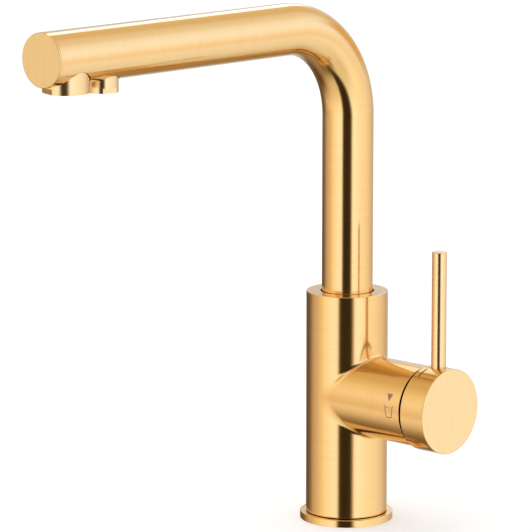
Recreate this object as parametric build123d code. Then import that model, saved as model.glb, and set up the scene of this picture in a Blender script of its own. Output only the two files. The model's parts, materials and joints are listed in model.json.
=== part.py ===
from build123d import *
from math import atan2, cos, pi, radians, sin, sqrt, tan
import os

# A three-way kitchen tap: mixed hot and cold water from the front outlet, filtered water from
# a smaller outlet behind it. One side lever works both.
#
# Frame: origin at the centre of the base ring's foot, +Z up. The spout points to -Y at rest and
# the handle branch to +X. "u" is a distance from the column's axis along the handle's axis.

# ---- Driving sizes, millimetres ---------------------------------------------------------------

# Column and foot
BODY_D = 45.0                # outside of the column
BODY_TOP = 128.5             # top face of the column above the worktop
BASE_RING_H = 4.0            # height of the ring the column stands on
BASE_RING_LIP = 3.25         # how far the ring stands out past the column
FOOT_SHOULDER = 3.5          # width of the column's seat on the ring
FOOT_LIFT = 0.8              # the column's spigot ends this far above the worktop
RING_FIT = 0.2               # radial clearance between spigot and ring
GASKET_T = 1.6               # sealing washer under the ring
GASKET_W = 3.0
GASKET_INSET = 1.6           # ring metal left outside the washer
EDGE_BREAK = 0.4             # small chamfer on visible rims
PAST = 1.0                   # cutters run this far past the metal they cut

# Hose chamber and connection block inside the foot
CHAMBER_WALL = 2.5           # spigot wall round the hose chamber
CHAMBER_TOP = 48.0
BLOCK_H = 12.0
BLOCK_FIT = 0.05
INLET_THREAD_D = 8.9         # core of an M10 x 1 hose thread
INLET_THREAD_L = 9.0
STUD_THREAD_D = 6.8          # core of an M8 fixing stud thread
STUD_THREAD_L = 9.0
PASSAGE_D = 4.6              # drilled waterways

# Swivel spout
SPOUT_D = 28.0
SPOUT_WALL = 1.2
SPOUT_TOP = 291.0            # highest line of the spout
SPOUT_REACH = 228.0          # from the column's axis to the spout's end face
BEND_R = 51.0                # centreline radius of the bend
SPOUT_GAP = 0.8              # dark gap between the spout and the column's collar
COLLAR_DEPTH = 3.0           # recess in the column's top face
GLIDE_RING_T = 0.6
GLIDE_RING_W = 2.3
END_CAP_T = 1.2
END_PLUG_L = 2.8
TUBE_FIT = 0.1               # parts pushed into the spout tube

# Spigot that carries the spout in the column
SPIGOT_SHOULDER = 0.8        # tube bore less journal, on the radius
SPIGOT_L = 25.1              # journal length below the tube's foot
SPIGOT_INSERT_L = 11.9       # length pushed up into the tube
SPIGOT_WALL = 3.45
SPIGOT_END_GAP = 1.0         # journal's foot above the bore's floor
JOURNAL_FIT = 0.05           # running clearance on the radius
O_RING_D = 1.56              # section of the spout's O-rings
O_RING_FIT = 0.02            # under the ring, in its groove
O_RING_RUNNING_FIT = 0.08    # round the ring, in the column's bore
O_RING_GROOVE_W = 2.0
O_RING_SIDES = 8
O_RING_PITCH = 6.0
UPPER_O_RING_DROP = 7.5      # below the bore's mouth
SCREW_LIFT = 6.0             # retaining screw above the bore's floor
SCREW_D = 5.0
SCREW_DOG_D = 3.0
SCREW_DOG_L = 2.2
SCREW_BODY_L = 7.0
SCREW_FIT = 0.05
SCREW_GROOVE_D = 1.5         # depth of the spigot's retaining groove
SCREW_GROOVE_PLAY = 0.2
DOG_TIP_GAP = 0.35

# Filtered-water line up the middle of the spout
PIPE_D = 8.0
PIPE_WALL = 1.0
NIPPLE_D = 10.0
NIPPLE_L = 11.3
NIPPLE_FIT = 0.08
NIPPLE_COLLAR_T = 1.5
NIPPLE_COLLAR_GAP = 0.32     # collar above the bore's floor
NIPPLE_COLLAR_W = 0.6
NIPPLE_BARB_L = 6.2
NIPPLE_BORE_D = 3.6
NIPPLE_PORT_L = 12.0
NIPPLE_RING_D = 1.2          # section of the nipple's O-ring
NIPPLE_RING_LIFT = 4.5
NIPPLE_GROOVE_W = 1.56

# Outlets
MAIN_OUTLET_D = 24.0
MAIN_OUTLET_DROP = 3.8       # below the spout's underside
MAIN_FLAT_CUT = 1.5          # depth of each spanner flat
MAIN_FLAT_H = 2.9
MAIN_FLAT_TURN = -108.0      # plan angle of a flat's normal, from +X
FILTER_OUTLET_D = 16.0
FILTER_OUTLET_DROP = 5.9
FILTER_FLAT_CUT = 1.0
FILTER_FLAT_H = 2.6
FILTER_FLAT_TURN = -15.0
SADDLE_GAP = 0.45            # gap round each outlet where it leaves the tube
END_LAND = 4.25              # tube left between the main outlet and the spout's end
OUTLET_LAND = 4.9            # tube left between the two outlets
OUTLET_WALL = 0.9            # sleeve wall behind a flat
MAIN_SHOULDER_DROP = 6.5     # sleeve's seat below the spout's centreline
FILTER_SHOULDER_DROP = 10.5
MAIN_NECK_D = 17.8
FILTER_NECK_D = 9.8
NECK_L = 6.0
NECK_FIT = 0.1
NECK_WALL = 1.9
MANIFOLD_LEAD = 13.5         # manifold behind the filter outlet's centre
PIPE_SOCKET_L = 6.5
SIDE_CHANNEL_D = 6.0
SIDE_CHANNEL_TUCK = 0.4      # channels reach this far in over the filter outlet's neck
CHANNEL_RISE = 4.5
INSERT_LIFT = 0.5            # inserts sit this far up inside the sleeves
MAIN_INSERT_L = 7.3
FILTER_INSERT_L = 4.4
INSERT_FIT = 0.1
HEX_HOLE_AF = 1.7            # honeycomb of the main insert
HEX_WEB = 0.5
FILTER_HEX_AF = 1.4
COMB_T = 2.6
INSERT_RIM = 0.9
DISPERSER_T = 1.6
DISPERSER_HOLE_D = 1.2
DISPERSER_HOLES = 16
DISPERSER_CIRCLE = 0.7       # share of the plate's radius
SEAL_CORD_D = 1.4

# Side branch and cartridge
HANDLE_Z = 71.5              # handle axis above the worktop
BRANCH_REACH = 36.0          # branch mouth beyond the column's side
BRANCH_WALL = 3.25           # metal outside the cartridge nut's thread
JUNCTION_FILLET = 2.0
CARTRIDGE_D = 34.8
CARTRIDGE_L = 27.0           # seat to shoulder, washer included
CARTRIDGE_FIT = 0.25
MOUTH_STEP = 1.35
MOUTH_DEPTH = 13.5
CARTRIDGE_SEAL_T = 1.5
SEAL_INSET = 1.9
BASE_T = 4.5
BASE_WALL = 4.3
POCKET_DEPTH = 2.0
FIXED_DISC_T = 3.5
MOVING_DISC_T = 3.0
DISC_TRAVEL = 2.2
DISC_MARGIN = 0.4
DRIVER_T = 5.0
DRIVER_FLANGE_T = 0.7
DRIVER_FLAT = 7.4            # half width of the driver across its flats
LEG_FIT = 0.2
LEG_W = 8.0
LEG_END_GAP = 0.35           # leg tips off the driver's flange
HOUSING_WALL = 3.8
HOUSING_NECK_L = 5.0
HOUSING_NECK_WALL = 1.8
ROTOR_D = 24.0
ROTOR_FIT = 0.1
ROTOR_GAP = 0.5
ROTOR_FLANGE_T = 3.0
ROTOR_FLANGE_W = 1.2
FLANGE_PLAY = 0.4
NUT_L = 7.0
NUT_FIT = 0.1
NUT_BORE_GAP = 0.3
NUT_NOTCH_W = 4.0
NUT_NOTCH_H = 2.5
NUT_NOTCHES = 6
MIXED_PORT_RISE = 6.5        # port centres from the handle axis, on the cartridge's seat
FILTER_PORT_DROP = 4.6
PORT_RIM = 0.5               # disc left outside the inlet ports
INLET_SPREAD = 57.0          # degrees each side of straight down

# Tilting spindle and handle
SPINDLE_W = 8.0
SPINDLE_SLOT_FIT = 0.15
SPINDLE_TILT_FIT = 0.6       # slot left beyond the tilted spindle
BALL_D = 5.2
BALL_FIT = 0.2
BALL_DEPTH = 1.7             # ball centre below the driver's outer face
BALL_ARM = 5.7               # ball centre to pivot
SPINDLE_NECK_D = 3.6
SPINDLE_SHOULDER = 2.0       # square starts this far inside the pivot
PIN_D = 3.0
PIN_FIT = 0.03
PIN_PLAY = 0.05
PIN_SHORT = 1.0              # pin ends inside the rotor's skin
TILT_MAX = 20.0              # degrees
CAP_GAP = 1.0                # gap between the branch mouth and the handle cap
CAP_L = 15.5
CAP_LIP = 1.05               # cap radius beyond the branch
CAP_TILT_CLEARANCE = 0.5
HUB_WALL = 4.3
SOCKET_FIT = 0.05
SOCKET_END_GAP = 0.5
SPINDLE_END_INSET = 6.0      # spindle end inside the cap's face
LEVER_D = 8.0
LEVER_LENGTH = 86.8          # lever top above the handle's axis
LEVER_SETBACK = 8.5          # lever axis inside the cap's face
LEVER_SOCKET_DEPTH = 2.0
LEVER_FIT = 0.1
LEVER_EDGE = 0.6
LEVER_STUD_D = 5.0
LEVER_STUD_L = 4.8
THREAD_FIT = 0.05
GRUB_L = 6.0
GRUB_GAP = 0.1
GRUB_HEX_AF = 2.5
GRUB_HEX_DEPTH = 2.5

# ---- Sizes and places worked out from them ----------------------------------------------------

BODY_R = BODY_D / 2
RING_R = BODY_R + BASE_RING_LIP
FOOT_R = BODY_R - FOOT_SHOULDER
CHAMBER_R = FOOT_R - CHAMBER_WALL
BLOCK_R = CHAMBER_R - BLOCK_FIT
BLOCK_FOOT = CHAMBER_TOP - BLOCK_H
INLET_CIRCLE_R = (BLOCK_R + STUD_THREAD_D / 2) / 2
PASSAGE_R = PASSAGE_D / 2

TUBE_R = SPOUT_D / 2
TUBE_BORE_R = TUBE_R - SPOUT_WALL
SPOUT_Z = SPOUT_TOP - TUBE_R
COLLAR_R = TUBE_R + SPOUT_GAP
COLLAR_FLOOR = BODY_TOP - COLLAR_DEPTH
TUBE_FOOT = COLLAR_FLOOR + GLIDE_RING_T
TUBE_END = SPOUT_REACH - END_CAP_T
PLUG_R = TUBE_BORE_R - TUBE_FIT
INSERT_R = TUBE_BORE_R - TUBE_FIT / 2

JOURNAL_R = TUBE_BORE_R - TUBE_FIT / 2 - SPIGOT_SHOULDER
SPIGOT_BORE_R = JOURNAL_R - SPIGOT_WALL
COLUMN_BORE_R = JOURNAL_R + JOURNAL_FIT
SPIGOT_FOOT = TUBE_FOOT - SPIGOT_L
COLUMN_BORE_FLOOR = SPIGOT_FOOT - SPIGOT_END_GAP
O_RING_R = O_RING_D / 2
O_RING_CENTRE_R = COLUMN_BORE_R - O_RING_RUNNING_FIT - O_RING_R
O_RING_FLOOR_R = O_RING_CENTRE_R - O_RING_R - O_RING_FIT
O_RING_HEIGHTS = [COLLAR_FLOOR - UPPER_O_RING_DROP - n * O_RING_PITCH for n in (0, 1)]
SCREW_Z = COLUMN_BORE_FLOOR + SCREW_LIFT
SCREW_GROOVE_R = JOURNAL_R - SCREW_GROOVE_D
SCREW_GROOVE_W = SCREW_DOG_D + 2 * SCREW_GROOVE_PLAY
DOG_TIP = SCREW_GROOVE_R + DOG_TIP_GAP
DOG_ROOT = DOG_TIP + SCREW_DOG_L

PIPE_R = PIPE_D / 2
PIPE_BORE_R = PIPE_R - PIPE_WALL
NIPPLE_R = NIPPLE_D / 2
NIPPLE_PORT_R = NIPPLE_R + NIPPLE_FIT
NIPPLE_PORT_FLOOR = COLUMN_BORE_FLOOR - NIPPLE_PORT_L
NIPPLE_COLLAR_Z = COLUMN_BORE_FLOOR + NIPPLE_COLLAR_GAP
PIPE_FOOT = NIPPLE_COLLAR_Z + NIPPLE_COLLAR_T
NIPPLE_FOOT = NIPPLE_COLLAR_Z - NIPPLE_L
NIPPLE_RING_Z = NIPPLE_FOOT + NIPPLE_RING_LIFT
NIPPLE_RING_R = NIPPLE_RING_D / 2
NIPPLE_RING_CENTRE_R = NIPPLE_PORT_R - O_RING_FIT - NIPPLE_RING_R
MIXED_RISER_X = (NIPPLE_PORT_R + COLUMN_BORE_R) / 2

MAIN_R = MAIN_OUTLET_D / 2
MAIN_HOLE_R = MAIN_R + SADDLE_GAP
MAIN_Y = -(SPOUT_REACH - END_LAND - MAIN_HOLE_R)
MAIN_FOOT = SPOUT_Z - TUBE_R - MAIN_OUTLET_DROP
MAIN_SEAT = SPOUT_Z - MAIN_SHOULDER_DROP
MAIN_BORE_R = MAIN_R - MAIN_FLAT_CUT - OUTLET_WALL
FILTER_R = FILTER_OUTLET_D / 2
FILTER_HOLE_R = FILTER_R + SADDLE_GAP
FILTER_Y = MAIN_Y + MAIN_HOLE_R + FILTER_HOLE_R + OUTLET_LAND
FILTER_FOOT = SPOUT_Z - TUBE_R - FILTER_OUTLET_DROP
FILTER_SEAT = SPOUT_Z - FILTER_SHOULDER_DROP
FILTER_BORE_R = FILTER_R - FILTER_FLAT_CUT - OUTLET_WALL
MANIFOLD_NEAR = -FILTER_Y - MANIFOLD_LEAD
MANIFOLD_FAR = TUBE_END - END_PLUG_L
PIPE_END = MANIFOLD_NEAR + PIPE_SOCKET_L - SOCKET_END_GAP

CARTRIDGE_R = CARTRIDGE_D / 2
CARTRIDGE_BORE_R = CARTRIDGE_R + CARTRIDGE_FIT
MOUTH_R = CARTRIDGE_BORE_R + MOUTH_STEP
BRANCH_R = MOUTH_R + BRANCH_WALL
MOUTH = BODY_R + BRANCH_REACH
SHOULDER = MOUTH - MOUTH_DEPTH
SEAT = SHOULDER - CARTRIDGE_L
BASE_FACE = SEAT + CARTRIDGE_SEAL_T
HOUSING_FACE = BASE_FACE + BASE_T
POCKET_FLOOR = HOUSING_FACE - POCKET_DEPTH
POCKET_R = CARTRIDGE_R - BASE_WALL
FIXED_DISC_R = POCKET_R - ROTOR_FIT
MOVING_FACE = POCKET_FLOOR + FIXED_DISC_T
MOVING_DISC_R = POCKET_R - DISC_TRAVEL - DISC_MARGIN
DRIVER_FACE = MOVING_FACE + MOVING_DISC_T
DRIVER_END = DRIVER_FACE + DRIVER_T
ROTOR_FACE = DRIVER_END + ROTOR_GAP
ROTOR_R = ROTOR_D / 2
ROTOR_BORE_R = ROTOR_R + ROTOR_FIT
ROTOR_FLANGE_R = ROTOR_R + ROTOR_FLANGE_W
FLANGE_END = ROTOR_FACE + ROTOR_FLANGE_T
CAVITY_R = CARTRIDGE_R - HOUSING_WALL
CAVITY_END = FLANGE_END + FLANGE_PLAY
NECK_END = SHOULDER + HOUSING_NECK_L
NECK_R = ROTOR_BORE_R + HOUSING_NECK_WALL
NUT_R = MOUTH_R - NUT_FIT
NUT_BORE_R = NECK_R + NUT_BORE_GAP
BALL_U = DRIVER_END - BALL_DEPTH
PIVOT_U = BALL_U + BALL_ARM
CAP_FACE = MOUTH + CAP_GAP
CAP_END = CAP_FACE + CAP_L
CAP_R = BRANCH_R + CAP_LIP
CAP_CAVITY_R = sqrt((MOUTH - PIVOT_U) ** 2 + BRANCH_R ** 2) + CAP_TILT_CLEARANCE
HUB_R = sqrt(2) * SPINDLE_W / 2 + HUB_WALL
SPINDLE_END = CAP_END - SPINDLE_END_INSET
LEVER_U = CAP_END - LEVER_SETBACK
LEVER_R = LEVER_D / 2
LEVER_SEAT = CAP_R - LEVER_SOCKET_DEPTH
GRUB_FOOT = SPINDLE_W / 2 + GRUB_GAP

INLET_PORT_R = FIXED_DISC_R - PORT_RIM - PASSAGE_R
INLET_ANGLES = (0, 120, 240)            # filtered water in front of the branch, then the mains

UPRIGHT = Plane.XY
HANDLE = Plane(origin=(0, 0, HANDLE_Z), x_dir=(0, 1, 0), z_dir=(1, 0, 0))      # Z is the handle axis
SPOUT_RUN = Plane(origin=(0, 0, SPOUT_Z), x_dir=(1, 0, 0), z_dir=(0, -1, 0))   # Z runs out along it


# ---- Helpers ----------------------------------------------------------------------------------

def rod(radius, start, end):
    """A round bar between two points."""
    start, end = Vector(*start), Vector(*end)
    run = end - start
    return Solid.make_cylinder(radius, run.length, Plane(start, z_dir=run))


def turned(place, profile):
    """A turned part: (radius, height) corners revolved about the place's Z axis."""
    outline = make_face(Polyline(*[(radius, 0, height) for radius, height in profile], close=True))
    return place.location * revolve(outline, Axis.Z)


def turned_ring(place, inner, outer, low, high):
    """A plain ring or washer of square section."""
    return turned(place, [(inner, low), (outer, low), (outer, high), (inner, high)])


def o_ring(centre_r, section_r, height):
    """A rubber ring round the column's axis. Its round section is drawn with eight sides."""
    turns = [2 * pi * n / O_RING_SIDES for n in range(O_RING_SIDES)]
    return turned(UPRIGHT, [(centre_r + section_r * cos(t), height + section_r * sin(t)) for t in turns])


def waterway(points):
    """Straight drillings that meet, from one point to the next."""
    drillings = [rod(PASSAGE_R, a, b) for a, b in zip(points, points[1:])]
    return sum(drillings[1:], drillings[0])


def inlet_place(angle, height):
    """A point on the circle of hose inlets."""
    turn = radians(angle)
    return (INLET_CIRCLE_R * cos(turn), INLET_CIRCLE_R * sin(turn), height)


def cartridge_ports():
    """Port centres on the cartridge's seat, as (y, z) from the handle axis: filtered in, the two
    mains, filtered out, mixed out."""
    spread = radians(INLET_SPREAD)
    mains_y = INLET_PORT_R * sin(spread)
    mains_z = -INLET_PORT_R * cos(spread)
    inlets = [(0, -INLET_PORT_R), (mains_y, mains_z), (-mains_y, mains_z)]
    return inlets + [(0, -FILTER_PORT_DROP), (0, MIXED_PORT_RISE)]


def port_drills(start, end):
    """The five port holes between two planes across the handle axis."""
    return [rod(PASSAGE_R, (start, y, HANDLE_Z + z), (end, y, HANDLE_Z + z)) for y, z in cartridge_ports()]


def bent_bar(radius, foot, end):
    """A round bar along the spout's centreline: up, round the bend, and out to the front."""
    bend_foot = SPOUT_Z - BEND_R
    bar = rod(radius, (0, 0, foot), (0, 0, bend_foot))
    section = Pos(0, 0, bend_foot) * Circle(radius)
    bar += revolve(section, Axis((0, -BEND_R, bend_foot), (1, 0, 0)), 90)
    return bar + rod(radius, (0, -BEND_R, SPOUT_Z), (0, -end, SPOUT_Z))


def honeycomb(radius, hole_af, low, high):
    """Hexagonal holes that fit whole inside a circle, as one group of prisms."""
    pitch = hole_af + HEX_WEB
    corner = hole_af / sqrt(3)
    reach = int(radius / pitch) + 1
    places = []
    for row in range(-reach, reach + 1):
        for column in range(-reach, reach + 1):
            x = pitch * (column + row / 2)
            y = pitch * row * sqrt(3) / 2
            if sqrt(x * x + y * y) + corner <= radius:
                places.append((x, y))
    cell = RegularPolygon(corner, 6, rotation=30)
    return [Pos(x, y, low) * extrude(cell, amount=high - low) for x, y in places]


# ---- Column, foot and inlets ------------------------------------------------------------------

def mixer_body():
    column = rod(BODY_R, (0, 0, BASE_RING_H), (0, 0, BODY_TOP))
    branch = rod(BRANCH_R, (0, 0, HANDLE_Z), (MOUTH, 0, HANDLE_Z))
    casting = column + branch
    seam = [edge for edge in casting.edges() if edge.geom_type not in (GeomType.LINE, GeomType.CIRCLE)]
    casting = casting.fillet(JUNCTION_FILLET, seam)
    rims = [edge for edge in casting.edges().filter_by(GeomType.CIRCLE)
            if abs(edge.center().Z - BODY_TOP) < EDGE_BREAK
            or abs(edge.center().Z - BASE_RING_H) < EDGE_BREAK
            or abs(edge.center().X - MOUTH) < EDGE_BREAK]
    casting = casting.chamfer(EDGE_BREAK, EDGE_BREAK, rims)
    casting += rod(FOOT_R, (0, 0, FOOT_LIFT), (0, 0, BASE_RING_H + EDGE_BREAK))
    casting -= rod(CHAMBER_R, (0, 0, 0), (0, 0, CHAMBER_TOP))
    # Spout bore, collar recess and the filtered-water port under them
    casting -= rod(COLLAR_R, (0, 0, COLLAR_FLOOR), (0, 0, BODY_TOP + PAST))
    casting -= rod(COLUMN_BORE_R, (0, 0, COLUMN_BORE_FLOOR), (0, 0, BODY_TOP))
    casting -= rod(NIPPLE_PORT_R, (0, 0, NIPPLE_PORT_FLOOR), (0, 0, BODY_TOP))
    # Cartridge bore and mouth
    casting -= rod(CARTRIDGE_BORE_R, (SEAT, 0, HANDLE_Z), (MOUTH, 0, HANDLE_Z))
    casting -= rod(MOUTH_R, (SHOULDER, 0, HANDLE_Z), (MOUTH + PAST, 0, HANDLE_Z))
    # Retaining screw at the back
    casting -= rod(SCREW_DOG_D / 2 + SCREW_FIT, (0, DOG_TIP, SCREW_Z), (0, DOG_ROOT, SCREW_Z))
    casting -= rod(SCREW_D / 2 + SCREW_FIT, (0, DOG_ROOT, SCREW_Z), (0, BODY_R + PAST, SCREW_Z))
    # Waterways between the connection block, the cartridge and the spout
    filtered_in, mains_left, mains_right, filtered_out, mixed_out = cartridge_ports()
    for angle, port in zip(INLET_ANGLES, (filtered_in, mains_left, mains_right)):
        height = HANDLE_Z + port[1]
        x, y, _ = inlet_place(angle, height)
        casting -= waterway([(x, y, CHAMBER_TOP - PAST), (x, y, height), (SEAT + PAST, port[0], height)])
    height = HANDLE_Z + filtered_out[1]
    casting -= waterway([(0, 0, NIPPLE_PORT_FLOOR + PAST), (0, 0, height), (SEAT + PAST, 0, height)])
    height = HANDLE_Z + mixed_out[1]
    casting -= waterway([(MIXED_RISER_X, 0, COLUMN_BORE_FLOOR + PAST), (MIXED_RISER_X, 0, height),
                         (SEAT + PAST, 0, height)])
    return casting


def base_ring():
    bore = FOOT_R + RING_FIT
    groove_out = RING_R - GASKET_INSET
    groove_in = groove_out - GASKET_W
    return turned(UPRIGHT, [
        (bore, 0), (groove_in, 0), (groove_in, GASKET_T), (groove_out, GASKET_T), (groove_out, 0),
        (RING_R, 0), (RING_R, BASE_RING_H - EDGE_BREAK), (RING_R - EDGE_BREAK, BASE_RING_H),
        (bore, BASE_RING_H)])


def base_gasket():
    groove_out = RING_R - GASKET_INSET
    return turned_ring(UPRIGHT, groove_out - GASKET_W, groove_out, 0, GASKET_T)


def connection_block():
    block = rod(BLOCK_R, (0, 0, BLOCK_FOOT), (0, 0, CHAMBER_TOP))
    for angle in INLET_ANGLES:
        foot = inlet_place(angle, BLOCK_FOOT)
        step = inlet_place(angle, BLOCK_FOOT + INLET_THREAD_L)
        top = inlet_place(angle, CHAMBER_TOP)
        block -= rod(INLET_THREAD_D / 2, foot, step)
        block -= rod(PASSAGE_R, step, top)
    return block - rod(STUD_THREAD_D / 2, (0, 0, BLOCK_FOOT), (0, 0, BLOCK_FOOT + STUD_THREAD_L))


# ---- Spout ------------------------------------------------------------------------------------

def spout_tube():
    tube = bent_bar(TUBE_R, TUBE_FOOT, TUBE_END) - bent_bar(TUBE_BORE_R, TUBE_FOOT, TUBE_END)
    tube -= rod(MAIN_HOLE_R, (0, MAIN_Y, SPOUT_Z), (0, MAIN_Y, SPOUT_Z - SPOUT_D))
    return tube - rod(FILTER_HOLE_R, (0, FILTER_Y, SPOUT_Z), (0, FILTER_Y, SPOUT_Z - SPOUT_D))


def spout_end_cap():
    return turned(SPOUT_RUN, [
        (0, MANIFOLD_FAR), (PLUG_R, MANIFOLD_FAR), (PLUG_R, TUBE_END), (TUBE_R, TUBE_END),
        (TUBE_R, SPOUT_REACH - EDGE_BREAK), (TUBE_R - EDGE_BREAK, SPOUT_REACH), (0, SPOUT_REACH)])


def spout_spigot():
    profile = [(SPIGOT_BORE_R, SPIGOT_FOOT), (JOURNAL_R - EDGE_BREAK, SPIGOT_FOOT),
               (JOURNAL_R, SPIGOT_FOOT + EDGE_BREAK)]
    grooves = [(SCREW_Z, SCREW_GROOVE_W, SCREW_GROOVE_R)]
    grooves += [(height, O_RING_GROOVE_W, O_RING_FLOOR_R) for height in reversed(O_RING_HEIGHTS)]
    for height, width, floor in grooves:
        low, high = height - width / 2, height + width / 2
        profile += [(JOURNAL_R, low), (floor, low), (floor, high), (JOURNAL_R, high)]
    top = TUBE_FOOT + SPIGOT_INSERT_L
    profile += [(JOURNAL_R, TUBE_FOOT), (INSERT_R, TUBE_FOOT), (INSERT_R, top), (SPIGOT_BORE_R, top)]
    return turned(UPRIGHT, profile)


def spout_o_rings():
    return Compound([o_ring(O_RING_CENTRE_R, O_RING_R, height) for height in O_RING_HEIGHTS])


def spout_glide_ring():
    outer = COLLAR_R - RING_FIT
    return turned_ring(UPRIGHT, outer - GLIDE_RING_W, outer, COLLAR_FLOOR, TUBE_FOOT)


def spout_retaining_screw():
    tail = DOG_ROOT + SCREW_BODY_L
    screw = rod(SCREW_DOG_D / 2, (0, DOG_TIP, SCREW_Z), (0, DOG_ROOT, SCREW_Z))
    screw += rod(SCREW_D / 2, (0, DOG_ROOT, SCREW_Z), (0, tail, SCREW_Z))
    socket = Plane(origin=(0, tail, SCREW_Z), z_dir=(0, -1, 0)) * RegularPolygon(GRUB_HEX_AF / sqrt(3), 6)
    return screw - extrude(socket, amount=GRUB_HEX_DEPTH)


# ---- Filtered-water line and outlets ----------------------------------------------------------

def filter_pipe():
    return bent_bar(PIPE_R, PIPE_FOOT, PIPE_END) - bent_bar(PIPE_BORE_R, PIPE_FOOT, PIPE_END)


def filter_pipe_nipple():
    bore = NIPPLE_BORE_D / 2
    barb = PIPE_BORE_R - PIN_PLAY
    groove = NIPPLE_RING_CENTRE_R - NIPPLE_RING_R - O_RING_FIT
    low = NIPPLE_RING_Z - NIPPLE_GROOVE_W / 2
    high = NIPPLE_RING_Z + NIPPLE_GROOVE_W / 2
    return turned(UPRIGHT, [
        (bore, NIPPLE_FOOT), (NIPPLE_R, NIPPLE_FOOT), (NIPPLE_R, low), (groove, low), (groove, high),
        (NIPPLE_R, high), (NIPPLE_R, NIPPLE_COLLAR_Z), (NIPPLE_R + NIPPLE_COLLAR_W, NIPPLE_COLLAR_Z),
        (NIPPLE_R + NIPPLE_COLLAR_W, PIPE_FOOT), (barb, PIPE_FOOT), (barb, PIPE_FOOT + NIPPLE_BARB_L),
        (bore, PIPE_FOOT + NIPPLE_BARB_L)])


def filter_nipple_o_ring():
    return o_ring(NIPPLE_RING_CENTRE_R, NIPPLE_RING_R, NIPPLE_RING_Z)


def outlet_manifold():
    block = rod(PLUG_R, (0, -MANIFOLD_NEAR, SPOUT_Z), (0, -MANIFOLD_FAR, SPOUT_Z))
    socket_end = MANIFOLD_NEAR + PIPE_SOCKET_L
    block -= rod(PIPE_R + PIN_PLAY, (0, -MANIFOLD_NEAR, SPOUT_Z), (0, -socket_end, SPOUT_Z))
    block -= rod(PIPE_BORE_R, (0, -socket_end, SPOUT_Z), (0, FILTER_Y, SPOUT_Z))
    # Filter outlet: seat, neck bore, and the drop from the pipe
    block -= rod(FILTER_HOLE_R, (0, FILTER_Y, SPOUT_Z - TUBE_R), (0, FILTER_Y, FILTER_SEAT))
    neck = FILTER_NECK_D / 2 + NECK_FIT
    block -= rod(neck, (0, FILTER_Y, FILTER_SEAT), (0, FILTER_Y, FILTER_SEAT + NECK_L + SOCKET_END_GAP))
    block -= rod(PIPE_BORE_R, (0, FILTER_Y, FILTER_SEAT), (0, FILTER_Y, SPOUT_Z))
    # Main outlet: seat and neck bore, fed by two channels past the filtered water
    block -= rod(MAIN_HOLE_R, (0, MAIN_Y, SPOUT_Z - TUBE_R), (0, MAIN_Y, MAIN_SEAT))
    neck = MAIN_NECK_D / 2 + NECK_FIT
    channel_z = SPOUT_Z + CHANNEL_RISE
    block -= rod(neck, (0, MAIN_Y, MAIN_SEAT), (0, MAIN_Y, channel_z))
    channel_r = SIDE_CHANNEL_D / 2
    channel_x = FILTER_NECK_D / 2 + channel_r - SIDE_CHANNEL_TUCK
    for side in (-1, 1):
        x = side * channel_x
        block -= rod(channel_r, (x, -MANIFOLD_NEAR, channel_z), (x, MAIN_Y, channel_z))
    return block


def outlet_sleeve(y, outer, bore, foot, seat, neck, flat_cut, flat_height, flat_turn):
    """A screwed outlet sleeve with two spanner flats at its lip."""
    roof = seat - NECK_WALL
    waist = neck - NECK_WALL
    place = Plane((0, y, 0))
    sleeve = turned(place, [
        (bore, foot), (outer - EDGE_BREAK, foot), (outer, foot + EDGE_BREAK), (outer, seat),
        (neck, seat), (neck, seat + NECK_L), (waist, seat + NECK_L), (waist, roof), (bore, roof)])
    width = 2 * outer
    for side in (0, 180):
        slab = Pos(outer - flat_cut + width / 2, 0, foot) * Box(width, width, 2 * flat_height)
        sleeve -= Pos(0, y, 0) * Rot(0, 0, flat_turn + side) * slab
    return sleeve


def main_outlet_sleeve():
    return outlet_sleeve(MAIN_Y, MAIN_R, MAIN_BORE_R, MAIN_FOOT, MAIN_SEAT, MAIN_NECK_D / 2,
                         MAIN_FLAT_CUT, MAIN_FLAT_H, MAIN_FLAT_TURN)


def filter_outlet_sleeve():
    return outlet_sleeve(FILTER_Y, FILTER_R, FILTER_BORE_R, FILTER_FOOT, FILTER_SEAT, FILTER_NECK_D / 2,
                         FILTER_FLAT_CUT, FILTER_FLAT_H, FILTER_FLAT_TURN)


def comb_insert(y, radius, foot, length, hole_af):
    """A cup whose floor is a honeycomb that straightens the jet."""
    low = foot + INSERT_LIFT
    inner = radius - INSERT_RIM
    cup = turned(Plane((0, y, 0)), [
        (0, low), (radius, low), (radius, low + length), (inner, low + length), (inner, low + COMB_T),
        (0, low + COMB_T)])
    holes = honeycomb(inner, hole_af, low - PAST, low + length)
    return cup - [Pos(0, y, 0) * hole for hole in holes]


def main_aerator():
    return comb_insert(MAIN_Y, MAIN_BORE_R - INSERT_FIT, MAIN_FOOT, MAIN_INSERT_L, HEX_HOLE_AF)


def filter_flow_insert():
    return comb_insert(FILTER_Y, FILTER_BORE_R - INSERT_FIT, FILTER_FOOT, FILTER_INSERT_L, FILTER_HEX_AF)


def aerator_disperser():
    """A plate of fine holes above the main honeycomb."""
    radius = MAIN_BORE_R - 2 * INSERT_FIT - INSERT_RIM
    high = MAIN_FOOT + INSERT_LIFT + MAIN_INSERT_L
    low = high - DISPERSER_T
    plate = rod(radius, (0, MAIN_Y, low), (0, MAIN_Y, high))
    circle = radius * DISPERSER_CIRCLE
    for n in range(DISPERSER_HOLES):
        turn = 2 * pi * n / DISPERSER_HOLES
        x = circle * cos(turn)
        y = MAIN_Y + circle * sin(turn)
        plate -= rod(DISPERSER_HOLE_D / 2, (x, y, low), (x, y, high))
    return plate


def main_aerator_seal():
    roof = MAIN_SEAT - NECK_WALL
    top = MAIN_FOOT + INSERT_LIFT + MAIN_INSERT_L
    outer = MAIN_BORE_R - INSERT_FIT
    return turned_ring(Plane((0, MAIN_Y, 0)), outer - 2 * SEAL_CORD_D, outer, top, roof)


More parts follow.
